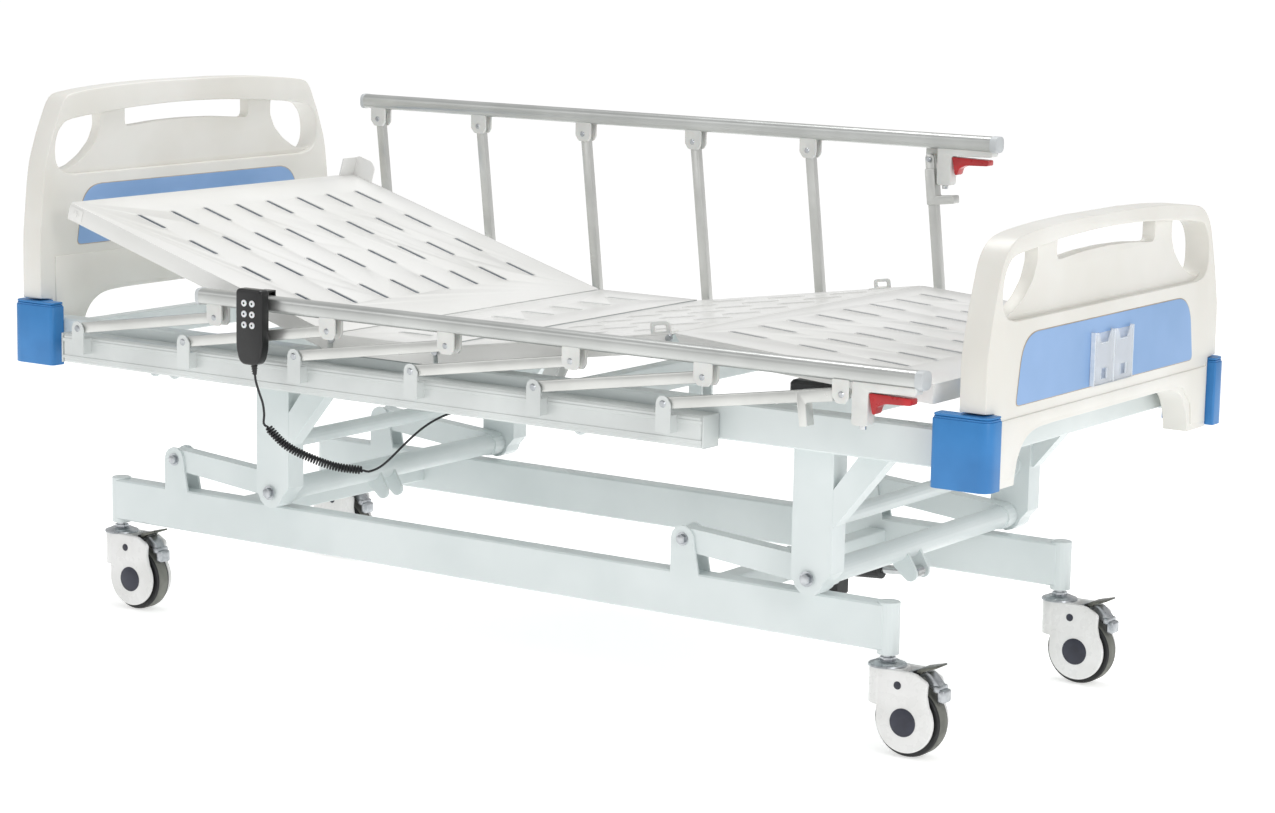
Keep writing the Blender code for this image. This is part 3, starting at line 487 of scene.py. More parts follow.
def cable(points, radius, resolution=3):
    """A round tube along the points, closed at both ends."""
    curve = bpy.data.curves.new("cable", "CURVE")
    curve.dimensions = "3D"
    curve.bevel_depth = radius
    curve.bevel_resolution = resolution
    curve.use_fill_caps = True
    spline = curve.splines.new("POLY")
    spline.points.add(len(points) - 1)
    for point, place in zip(spline.points, points):
        point.co = (*place, 1.0)
    made = bpy.data.objects.new("cable", curve)
    bpy.context.scene.collection.objects.link(made)
    only(made)
    bpy.ops.object.convert(target="MESH")
    made = bpy.context.object
    bpy.ops.object.mode_set(mode="EDIT")
    bpy.ops.mesh.select_all(action="SELECT")
    bpy.ops.mesh.remove_doubles(threshold=0.00001)
    bpy.ops.mesh.normals_make_consistent(inside=False)
    bpy.ops.object.mode_set(mode="OBJECT")
    return made


# ---- settings a user would change -----------------------------------------------------
class BedSizes(bpy.types.PropertyGroup):
    cord_radius: FloatProperty(
        name="Cord radius", description="Radius of the handset's thin cord", default=0.0022, unit="LENGTH"
    )
    coil_radius: FloatProperty(
        name="Coil radius", description="Outer radius of the curly part", default=0.0085, unit="LENGTH"
    )
    board_edge: FloatProperty(
        name="Board edge", description="Rounding of the end boards' edges", default=0.011, unit="LENGTH"
    )
    wheel_radius: FloatProperty(
        name="Wheel radius", description="Outer radius of a castor's tyre", default=0.0625, unit="LENGTH"
    )


class BedColours(bpy.types.PropertyGroup):
    lamp_colour: FloatVectorProperty(
        name="Light",
        description="Colour of the studio light",
        subtype="COLOR",
        size=3,
        default=(1.0, 1.0, 1.0),
    )


# ---- cords ----------------------------------------------------------------------------
CORD_UPPER = (
    (-0.4040, -0.5120, 0.5395),
    (-0.4020, -0.5120, 0.528),
    (-0.3945, -0.5120, 0.509),
    (-0.3860, -0.5115, 0.489),
    (-0.3830, -0.5108, 0.469),
    (-0.3845, -0.5101, 0.4507),
    (-0.3796, -0.5074, 0.4456),
)
COIL_ROUTE = (
    (-0.3793, -0.5072, 0.4452),
    (-0.3470, -0.4900, 0.411),
    (-0.3120, -0.4620, 0.388),
    (-0.2790, -0.4320, 0.372),
    (-0.2390, -0.4000, 0.365),
)
CORD_LOWER = (
    (-0.2386, -0.3997, 0.3649),
    (-0.2293, -0.3923, 0.3633),
    (-0.2060, -0.3800, 0.3780),
    (-0.1640, -0.3580, 0.4260),
    (-0.1400, -0.3400, 0.4520),
    (-0.1180, -0.3120, 0.4700),
    (-0.0920, -0.2750, 0.4810),
    (-0.0740, -0.2590, 0.4878),
    (-0.0608, -0.2560, 0.4880),
)
COIL_TURNS, COIL_STEPS, COIL_WIRE_RADIUS = 38, 14, 0.0019


def coil_points(route, turns, radius, steps):
    """A helix of that many turns round the route, starting and ending on it."""
    line = smooth_route(route, route_length([Vector(p) for p in route]) / (turns * steps))
    points = []
    side = Vector((0, 1, 0))
    for i, p in enumerate(line):
        ahead = line[min(i + 1, len(line) - 1)] - line[max(i - 1, 0)]
        ahead.normalize()
        side = (side - ahead * side.dot(ahead)).normalized()
        up = ahead.cross(side)
        angle = 2 * math.pi * i / steps
        reach = radius * min(1.0, i / steps, (len(line) - 1 - i) / steps)
        points.append(p + (side * math.cos(angle) + up * math.sin(angle)) * reach)
    return points


class BED_OT_cords(bpy.types.Operator):
    """Handset cord: a thin lead, a curly stretch and a thin lead to the control box"""

    bl_idname = "bed.cords"
    bl_label = "Cords"

    def execute(self, context):
        sizes = context.scene.bed_sizes
        r = sizes.cord_radius
        upper = smooth_route(CORD_UPPER, 0.004)
        tube = cable(upper, r)
        lead = piece("cord_lead_upper", "cable", "rail_top_right", "cord_rubber", [tube], ["cord_upper"])
        lower = smooth_route(CORD_LOWER, 0.005)
        tube = cable(lower, r)
        lead = piece("cord_lead_lower", "cable", "upper", "cord_rubber", [tube], ["cord_lower"])
        self.curly_part(sizes)
        return {"FINISHED"}

    def curly_part(self, sizes):
        """The helix, built as two halves."""
        wire = COIL_WIRE_RADIUS
        points = coil_points(COIL_ROUTE, COIL_TURNS, sizes.coil_radius - wire, COIL_STEPS)
        middle = len(points) // 2
        halves = (("cord_coil_near", points[: middle + 1]), ("cord_coil_far", points[middle:]))
        for name, half in halves:
            made = joined([cable(half, wire, 1)])
            made.name = made.data.name = name
            made.data.materials.clear()
            made.data.materials.append(FINISH["cable"])
            only(made)
            bpy.ops.object.shade_smooth()
            if name.endswith("near"):
                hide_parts("cord_coil")
                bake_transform(made)
            else:
                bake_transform(made)


# ---- frame, lift and deck -------------------------------------------------------------
class BED_OT_finishes(bpy.types.Operator):
    """Finishes for the solids that keep their shape"""

    bl_idname = "bed.finishes"
    bl_label = "Frame finishes"

    def execute(self, context):
        finishes = {
            "frame": ("base_frame", "upper_frame", "lift_arm_head", "lift_arm_foot"),
            "steel": ("back_actuator_rod", "leg_actuator_rod", "lift_actuator_rod"),
            "black": ("back_actuator_housing", "leg_actuator_housing", "lift_actuator_housing"),
            "profile": ("rail_base_right", "rail_base_left"),
        }
        for material, nodes in finishes.items():
            for name in nodes:
                node = NODES[name]
                node.data.materials.clear()
                node.data.materials.append(FINISH[material])
        return {"FINISHED"}


def bolt(place, axis, radius=0.007, height=0.005):
    """A hexagon head on a washer, standing on place along axis."""
    place, axis = Vector(place), Vector(axis).normalized()
    washer = rod(place, place + axis * 0.0012, radius * 1.35, 20)
    head = rod(place + axis * 0.001, place + axis * (0.001 + height), radius, 6, bevel=0.0006)
    return [washer, head]


BASE_PIVOTS_X, LEG_PIVOTS_X, POSTS_X = (-0.763, 0.427), (-0.482, 0.708), (-0.921, 0.834)
BASE_TUBE_Y, SIDE_TUBE_Y = 0.319, 0.399
SIDE_TUBE_BOTTOM, SIDE_TUBE_TOP = 0.520, 0.579
LUG_RADIUS = 0.015


class BED_OT_fixings(bpy.types.Operator):
    """Pivot bolts, tube plugs and bolted lugs"""

    bl_idname = "bed.fixings"
    bl_label = "Fixings"

    def execute(self, context):
        base, upper, plugs, frame_plugs = [], [], [], []
        for side in SIDES.values():
            for x in BASE_PIVOTS_X:
                base += bolt((x, side * 0.3392, 0.315), (0, side, 0), 0.009, 0.006)
            for x in LEG_PIVOTS_X:
                upper += bolt((x, side * 0.3828, 0.290), (0, side, 0), 0.010, 0.007)
            y = side * BASE_TUBE_Y
            for x in POSTS_X:
                plugs.append(rod((x, y, 0.2555), (x, y, 0.2592), 0.0187, 28, bevel=0.0012))
            y = side * SIDE_TUBE_Y
            for sign in (-1, 1):
                low, high = span(sign, 1.0095, 1.0125)
                corners = (low, y - 0.0195, SIDE_TUBE_BOTTOM), (high, y + 0.0195, SIDE_TUBE_TOP)
                frame_plugs.append(block(*corners, 0.0012))
        piece("lift_pivot_bolts", "zinc", "base", "bright_steel", base)
        piece("leg_pivot_bolts", "zinc", "upper", "bright_steel", upper)
        piece("corner_post_caps", "frame", "base", "frame_paint", plugs)
        piece("side_tube_plugs", "black", "upper", "pedal_plastic", frame_plugs)
        self.lugs()
        return {"FINISHED"}

    def lugs(self):
        """Small bolted lugs under the side tubes, and collars on the round cross tubes."""
        shapes, bolts = [], []
        for side in SIDES.values():
            for x in (-0.750, -0.700, 0.252):
                low, high = span(side, 0.4025, 0.4075)
                left, right, level = x - LUG_RADIUS, x + LUG_RADIUS, 0.503
                loop = [(left, SIDE_TUBE_BOTTOM), (left, level)]
                loop += arc((x, level), LUG_RADIUS, range(190, 360, 20))
                loop += [(right, level), (right, SIDE_TUBE_BOTTOM)]
                shapes.append(sheet(loop, "XZ", low, high, 0.0008, 1))
                bolts += bolt((x, side * 0.4075, 0.501), (0, side, 0), 0.0065, 0.004)
            loop = [(0.360, SIDE_TUBE_BOTTOM), (0.372, 0.502), (0.420, 0.502), (0.432, SIDE_TUBE_BOTTOM)]
            low, high = span(side, 0.385, 0.413)
            shapes.append(sheet(loop, "XZ", low, high, 0.0015, 2))
            near, far = side * 0.331, side * 0.339
            for x in (-0.476, 0.714):
                shapes.append(rod((x, near, 0.385), (x, far, 0.385), 0.0215, 28, bevel=0.002))
        piece("side_tube_lugs", "frame", "upper", "frame_paint", shapes)
        piece("side_tube_lug_bolts", "zinc", "upper", "bright_steel", bolts)


# ---- deck -----------------------------------------------------------------------------
DECK_TOP, DECK_HALF, FLANGE, SHEET = 0.617, 0.430, 0.034, 0.003
BACK_HINGE, THIGH_HINGE = Vector((-0.290, 0.0, DECK_TOP)), Vector((-0.050, 0.0, DECK_TOP))
BACK_TILT, THIGH_TILT, CALF_TILT = math.radians(16.6), math.radians(8.3), math.radians(-4.0)
THIGH_LENGTH = 0.515
KNEE = THIGH_HINGE + Vector((THIGH_LENGTH * math.cos(THIGH_TILT), 0, THIGH_LENGTH * math.sin(THIGH_TILT)))
CALF_LENGTH = 0.508
BACK_ENDS, THIGH_ENDS, CALF_ENDS = (-0.973, -0.294), (-0.049, 0.463), (KNEE.x + 0.002, KNEE.x + CALF_LENGTH)
KNEE_SETBACK = 0.027
SLOT_LENGTH, SLOT_WIDTH, SLOT_PITCH = 0.0760, 0.0120, (0.139, 0.095)
LEVER_END_RADIUS = 0.013


def stadium(x, y, length, width):
    """A round-ended slot's outline about its centre."""
    r = width / 2
    reach = length / 2 - r
    return arc((x + reach, y), r, range(-90, 91, 30)) + arc((x - reach, y), r, range(90, 271, 30))


def slot_places(first_x, rows, across=8):
    """The centres of rows of slots, one row after another towards the foot."""
    return [
        (first_x + row * SLOT_PITCH[0], (column - (across - 1) / 2) * SLOT_PITCH[1])
        for row in range(rows)
        for column in range(across)
    ]


def slotted_sheet(x0, x1, top, thick, places):
    """The flat top with its round-ended slots, and a raised lip round each slot."""
    corners = [(x0, -DECK_HALF), (x1, -DECK_HALF), (x1, DECK_HALF), (x0, DECK_HALF)]
    outline = corner_curve(corners, 0.005, 3)
    holes = [stadium(x, y, SLOT_LENGTH, SLOT_WIDTH) for x, y in places]
    made = [sheet(outline, "XY", top - thick, top, 0.0008, 2, holes)]
    made.append(slot_rings(places, top - 0.0010, top + 0.0010, 0.0050))
    return made


def slot_rings(places, low, high, width):
    """A ring round every slot, as one shape."""
    rings = []
    for x, y in places:
        rings.append(stadium(x, y, SLOT_LENGTH + width, SLOT_WIDTH + width))
        rings.append(stadium(x, y, SLOT_LENGTH - 0.0006, SLOT_WIDTH - 0.0006))
    return sheet(rings[0], "XY", low, high, 0.0007, 2, rings[1:])


def flanges(x0, x1, top, knee_end=0):
    """Turned-down edges; at a knee end the side ones slope away and there is no end flange."""
    low = top - FLANGE
    left = x0 + (KNEE_SETBACK if knee_end < 0 else 0.0)
    right = x1 - (KNEE_SETBACK if knee_end > 0 else 0.0)
    made = []
    for side in (-1, 1):
        near, far = span(side, DECK_HALF - SHEET, DECK_HALF)
        loop = [(left, low), (right, low), (x1 - 0.002, top - 0.003), (x0 + 0.002, top - 0.003)]
        made.append(sheet(corner_curve(loop, 0.0015, 2), "XZ", near, far, 0.0010, 2))
    half = DECK_HALF - 0.002
    for x, skip in ((x0, knee_end < 0), (x1 - SHEET, knee_end > 0)):
        if not skip:
            made.append(block((x, -half, low), (x + SHEET, half, top - 0.002), 0.0010, 2))
    return made


def lever_plates(left, right, tip):
    """Two plates from two points under a section down to the motor's pin."""
    made = []
    r = LEVER_END_RADIUS
    for side in (-1, 1):
        y = tip.y + side * 0.0165
        loop = [left, (tip.x - r, tip.z), *arc((tip.x, tip.z), r, range(200, 345, 20))]
        loop += [(tip.x + r, tip.z), right]
        made.append(sheet(loop, "XZ", y - 0.003, y + 0.003, 0.0008, 1))
    return made


class BED_OT_deck(bpy.types.Operator):
    """Slotted deck sections, seat skin, control box, hinge pins and mattress stops"""

    bl_idname = "bed.deck"
    bl_label = "Deck"

    def execute(self, context):
        back_levers = ((-0.350, 0.630), (-0.310, 0.618), Vector((-0.245, 0.060, 0.4676)))
        thigh_levers = ((-0.030, 0.612), (0.010, 0.618), Vector((-0.0748, -0.060, 0.477)))
        self.section("back", BACK_ENDS, BACK_HINGE, -BACK_TILT, slot_places(-0.847, 4), 0, back_levers)
        self.section("thigh", THIGH_ENDS, THIGH_HINGE, THIGH_TILT, slot_places(0.080, 3), 1, thigh_levers)
        self.section("calf", CALF_ENDS, KNEE, CALF_TILT, slot_places(KNEE.x + 0.090, 3), -1)

        skin = slotted_sheet(-0.2862, -0.0538, DECK_TOP + 0.0012, 0.0010, slot_places(-0.170, 1))
        for side in (-1, 1):
            near, far = span(side, 0.4301, 0.4309)
            skin.append(block((-0.2860, near, 0.5828), (-0.0540, far, 0.6178), 0.0003, 1))
        piece("seat_skin", "deck", "upper", "deck_paint", skin)

        body = block((-0.0612, -0.2812, 0.4668), (0.1012, -0.1388, 0.5162), 0.007, 3)
        lid = block((-0.054, -0.274, 0.4655), (0.094, -0.146, 0.470), 0.002)
        piece("control_box_cover", "grey", "upper", "frame_paint", [body, lid])
        self.hinge_pins()
        self.stops()
        return {"FINISHED"}

    def section(self, body, ends, hinge, tilt, places, knee_end, levers=None):
        """A tilting section: its folded sheet, its lever plates and the collars inside its slots."""
        top = hinge.z
        shapes = slotted_sheet(*ends, top, SHEET, places) + flanges(*ends, top, knee_end)
        shapes = [turned(x, tilt, hinge) for x in shapes]
        if levers:
            shapes += lever_plates(*levers)
        piece(f"{body}_panel_sheet", "deck", body, "deck_paint", shapes, [f"{body}_panel"])
        # The collars take the dark grey finish, which is painted shade for the slot walls.
        collars = turned(slot_rings(places, top - 0.0115, top - 0.0008, 0.0016), tilt, hinge)
        piece(f"{body}_panel_collars", "collar", body, "deck_paint", [collars])

    def hinge_pins(self):
        """A pin head at each side of every hinge."""
        upper, thigh = [], []
        knee_x, z = 0.4560, 0.6080
        for side in (-1, 1):
            outer = side * 0.4345
            for x in (BACK_HINGE.x, THIGH_HINGE.x):
                upper.append(rod((x, side * 0.4305, z), (x, outer, z), 0.0075, 20, 0.0065))
            thigh.append(rod((knee_x, side * 0.4302, z), (knee_x, outer, z), 0.0070, 20, 0.0060))
        piece("hinge_pins_upper", "zinc", "upper", "bright_steel", upper)
        thigh = [turned(x, THIGH_TILT, THIGH_HINGE) for x in thigh]
        piece("hinge_pins_knee", "zinc", "thigh", "bright_steel", thigh)

    def stops(self):
        """Bent retainers that keep the mattress from sliding: two at the knee, one at the head corner."""
        knee, head = [], []
        for side, x0, x1, rise in ((-1, 0.418, 0.458, 0.020), (1, 0.362, 0.398, 0.018)):
            low, high = span(side, 0.4245, 0.4295)
            top, left, right = DECK_TOP + rise, x0 + 0.007, x1 - 0.007
            outer = [(x0, 0.6150), (x1, 0.6150), (x1, top), (x0, top)]
            outer = corner_curve(outer, [0.001, 0.001, 0.007, 0.007], 4)
            inner = [(left, 0.6200), (right, 0.6200), (right, top - 0.006), (left, top - 0.006)]
            knee.append(sheet(outer, "XZ", low, high, 0.0012, 2, [corner_curve(inner, 0.003, 3)]))
            low, high = span(side, 0.402, 0.428)
            knee.append(block((x0, low, 0.6165), (x1, high, 0.6190), 0.0010))
        knee = [turned(x, THIGH_TILT, THIGH_HINGE) for x in knee]
        piece("mattress_stops_knee", "nylon", "thigh", "deck_paint", knee)
        outer = [(-0.972, 0.6150), (-0.918, 0.6150), (-0.918, 0.6480), (-0.930, 0.6600), (-0.972, 0.6600)]
        outer = corner_curve(outer, [0.001, 0.001, 0.006, 0.006, 0.010], 4)
        head.append(sheet(outer, "XZ", 0.4255, 0.4290, 0.0012, 2))
        head.append(block((-0.9725, 0.380, 0.6150), (-0.9695, 0.4280, 0.6560), 0.0012))
        head.append(block((-0.972, -0.4318, 0.5880), (-0.936, -0.4296, 0.6120), 0.0012))
        head += bolt((-0.952, -0.4316, 0.600), (0, -1, 0), 0.0055, 0.003)
        head = [turned(x, -BACK_TILT, BACK_HINGE) for x in head]
        piece("mattress_stops_head", "deck", "back", "deck_paint", head)


# ---- end boards -----------------------------------------------------------------------
BOARD_X = (1.018, 1.066)
BOARD_RISE = {"head": 0.098, "foot": 0.0}
BOARD_TOP = {"head": 1.030, "foot": 0.910}
FIELD_DEPTH = 0.012
INLAY_Z, INLAY_HALF_WIDTH, INLAY_TOP_HALF_WIDTH = (0.619, 0.735), 0.338, 0.318
HOLDER_Z, MOUTH_Z, WINDOW_Z = (0.621, 0.711), 0.692, (0.630, 0.648)


def half_to_full(half):
    """A closed outline from the half on the +Y side."""
    return half + [(-y, z) for y, z in reversed(half)]


def board_outline(end):
    """Feet astride a low arch, upright lower sides, and a crown that narrows to the top."""
    rise, top = BOARD_RISE[end], BOARD_TOP[end]
    arch = [(0.200, 0.575 + rise * 0.45), (0.262, 0.572 + rise * 0.43), (0.300, 0.558 + rise * 0.36)]
    arch += [(0.322, 0.532 + rise * 0.22), (0.331, 0.505)]
    half = [tuple(p) for p in smooth_line(arch, 4)] + [(0.334, 0.488)]
    half += [(0.4080, 0.488), (0.4085, 0.6145), (0.440, 0.6175), (0.440, 0.690 + rise * 0.3)]
    crown = [(0.4385, 0.712 + rise * 0.4), (0.425, 0.768 + rise), (0.408, 0.824 + rise)]
    crown += [(0.392, 0.862 + rise), (0.366, top - 0.024), (0.325, top - 0.0125)]
    crown += [(0.220, top - 0.0042), (0.100, top - 0.0004)]
    half += [tuple(p) for p in smooth_line(crown, 4)]
    return half_to_full(half)


def grip_outline(side, rise):
    """A hand opening; its outer and upper edges run in behind the rim."""
    loop = [(0.258, 0.882), (0.330, 0.884), (0.378, 0.870), (0.398, 0.842), (0.3995, 0.800), (0.390, 0.7745)]
    loop += [(0.366, 0.7655), (0.332, 0.7740), (0.298, 0.7930), (0.270, 0.8180), (0.2555, 0.8480)]
    return [(side * y, z + rise) for y, z in corner_curve(loop, 0.009, 3)]


def slot_outline(rise):
    """The middle opening; its upper edge runs in behind the rim."""
    loop = [(-0.187, 0.889), (-0.187, 0.8425), (-0.090, 0.8495), (0.0, 0.8515), (0.090, 0.8495)]
    loop += [(0.187, 0.8425), (0.187, 0.889), (0.0, 0.897)]
    radii = [0.013, 0.014, 0.02, 0.02, 0.02, 0.014, 0.013, 0.02]
    return [(y, z + rise) for y, z in corner_curve(loop, radii, 5)]


def recess_outline(rise, grow=0.0):
    """The sunk field behind the grips, bounded by the rim above and the ledge below."""
    half = [(0.345, 0.7585 - grow), (0.374, 0.7650 - grow), (0.3895 + grow, 0.7800), (0.3945 + grow, 0.8000)]
    half += [(0.3915 + grow, 0.8290), (0.3770 + grow, 0.8530 + grow * 0.5), (0.3480, 0.8665 + grow)]
    half += [(0.2500, 0.8760 + grow), (0.1880, 0.8805 + grow), (0.0900, 0.8850 + grow), (0.0, 0.8865 + grow)]
    line = smooth_line(half, 4)
    return [(y, z + rise) for y, z in line] + [(-y, z + rise) for y, z in reversed(line[:-1])]


class BED_OT_boards(bpy.types.Operator):
    """Headboard and footboard: a thick rim, a sunk field with hand openings, blue inlays, card holder"""

    bl_idname = "bed.boards"
    bl_label = "End boards"

    def execute(self, context):
        sizes = context.scene.bed_sizes
        for end in ENDS:
            self.board(end, sizes)
            for face in (-1, 1):
                self.inlay(end, face)
        self.card_holder()
        return {"FINISHED"}

    def board(self, end, sizes):
        sign, rise = ENDS[end], BOARD_RISE[end]
        lo, hi = span(sign, *BOARD_X)
        rim = sheet(board_outline(end), "YZ", lo, hi, sizes.board_edge, 5, [recess_outline(rise)])
        holes = [grip_outline(-1, rise), grip_outline(1, rise), slot_outline(rise)]
        sunk = FIELD_DEPTH
        field = sheet(recess_outline(rise, sunk), "YZ", lo + sunk, hi - sunk, 0.0035, 3, holes)
        shapes = [rim, field, *self.lips(end)]
        piece(f"{end}board_shell", "cream", "upper", "board_plastic", shapes, [f"{end}board"])

    def lips(self, end):
        """Low skins on both faces: the thicker skirt and the lip along the arch."""
        sign, rise = ENDS[end], BOARD_RISE[end]
        made = []
        for x, out in ((sign * BOARD_X[0], -sign), (sign * BOARD_X[1], sign)):
            near, far = sorted((x - out * 0.004, x + out * 0.0022))
            half = [(0.240, 0.583 + rise * 0.45), (0.300, 0.572 + rise * 0.38), (0.338, 0.540 + rise * 0.25)]
            half += [(0.345, 0.500), (0.398, 0.500), (0.399, 0.606), (0.400, 0.600 + rise)]
            made.append(sheet(half_to_full(half), "YZ", near, far, 0.0015, 2))
        return made

    def inlay(self, end, face):
        """The blue field, on the outer (1) or inner (-1) face, with a thin seam round it."""
        sign, rise = ENDS[end], BOARD_RISE[end]
        surface = sign * (BOARD_X[1] if face > 0 else BOARD_X[0])
        out = sign * face
        name = "outer" if face > 0 else "inner"
        bottom, top = INLAY_Z[0] + rise, INLAY_Z[1] + rise
        for part, grow, depth, finish in (("seam", 0.0014, 0.0006, "seam"), ("field", 0.0, 0.0012, "inlay")):
            lo, hi = sorted((surface - out * 0.003, surface + out * depth))
            wide, narrow = INLAY_HALF_WIDTH + grow, INLAY_TOP_HALF_WIDTH + grow
            corners = [(-wide, bottom - grow), (wide, bottom - grow)]
            corners += [(narrow, top + grow), (-narrow, top + grow)]
            loop = corner_curve(corners, [0.012, 0.012, 0.052, 0.052], 8)
            made = sheet(loop, "YZ", lo, hi, 0.0004, 1)
            piece(f"{end}board_inlay_{name}_{part}", finish, "upper", "board_plastic", [made])

    def card_holder(self):
        """Two clear bays with notched mouths and a small window at the foot of each."""
        x = BOARD_X[1] + 0.0015
        shapes, edges = [], []
        for side in (-1, 1):
            near, far = span(side, 0.0005, 0.074)
            middle = side * 0.037
            low, high = HOLDER_Z
            mouth = [(middle + 0.024, high), (middle + 0.013, MOUTH_Z)]
            mouth += [(middle - 0.013, MOUTH_Z), (middle - 0.024, high)]
            loop = [(near, low), (far, low), (far, high), *mouth, (near, high)]
            left, right = middle - 0.011, middle + 0.011
            window = [(y, WINDOW_Z[0]) for y in (left, right)] + [(y, WINDOW_Z[1]) for y in (right, left)]
            shapes.append(sheet(loop, "YZ", x + 0.0062, x + 0.0078, 0.0, 1, [window]))
            back = [(near, low), (far, low), (far, high - 0.003), (near, high - 0.003)]
            shapes.append(sheet(back, "YZ", x, x + 0.0010))
            for y in (near, far):
                corners = (x, y - 0.0009, low - 0.0005), (x + 0.0082, y + 0.0009, high + 0.0005)
                edges.append(block(*corners, 0.0004, 1))
            for y0, y1, z in ((near, far, 0.6208), (middle - 0.0125, middle + 0.0125, 0.6915)):
                edges.append(block((x + 0.0052, y0, z - 0.0008), (x + 0.0082, y1, z + 0.0008), 0.0004, 1))
            for y in (left, right):
                corners = (x + 0.0060, y - 0.0006, WINDOW_Z[0]), (x + 0.0081, y + 0.0006, WINDOW_Z[1])
                edges.append(block(*corners))
        edges.append(block((x, -0.0745, 0.6200), (x + 0.0082, 0.0745, 0.6216), 0.0004, 1))
        piece("card_holder_bays", "acrylic", "upper", "clear_plastic", shapes, ["card_holder"])
        piece("card_holder_edges", "acrylic_edge", "upper", "clear_plastic", edges)


# the bumper wraps the board's end: its inner edge steps in where it passes the side tube
BUMPER_OUTLINE = (
    (0.974, 0.4208),
    (1.0115, 0.4208),
    (1.0115, 0.4098),
    (1.0815, 0.4098),
    (1.0815, 0.4535),
    (0.974, 0.4535),
)
BUMPER_STEP_OUTLINE = (
    (0.976, 0.4215),
    (1.013, 0.4215),
    (1.013, 0.4105),
    (1.080, 0.4105),
    (1.080, 0.452),
    (0.976, 0.452),
)


class BED_OT_bumpers(bpy.types.Operator):
    """Blue corner bumpers with stepped tops"""

    bl_idname = "bed.bumpers"
    bl_label = "Bumpers"

    def execute(self, context):
        for end, sign in ENDS.items():
            for side_name, side in SIDES.items():
                curve = corner_curve(BUMPER_OUTLINE, [0.003, 0.002, 0.002, 0.004, 0.022, 0.010], 5)
                shapes = [sheet([(sign * x, side * y) for x, y in curve], "XY", 0.491, 0.606, 0.003, 2)]
                curve = corner_curve(BUMPER_STEP_OUTLINE, [0.003, 0.002, 0.002, 0.004, 0.021, 0.009], 5)
                for z in (0.6055, 0.6100):
                    outline = [(sign * x, side * y) for x, y in curve]
                    shapes.append(sheet(outline, "XY", z, z + 0.0038, 0.001, 1))
                name = f"bumper_{end}_{side_name}"
                piece(f"{name}_cover", "bumper", "upper", "bumper_plastic", shapes, [name])
        return {"FINISHED"}


# ---- side rails -----------------------------------------------------------------------
RAIL_FIRST_X, RAIL_PITCH, RAIL_BARS, BAR_LENGTH = -0.870, 0.2704, 6, 0.353
RAIL_Y, RAIL_PIVOT_Z, TOP_BAR_RISE = 0.480, 0.579, 0.036
BAR_HALF_WIDTH, TOP_BAR_HALF, CAP_HALF = 0.010, (0.016, 0.015), (0.0168, 0.0158)
RAIL_ANGLE = {"right": math.radians(8.7), "left": math.radians(96.5)}


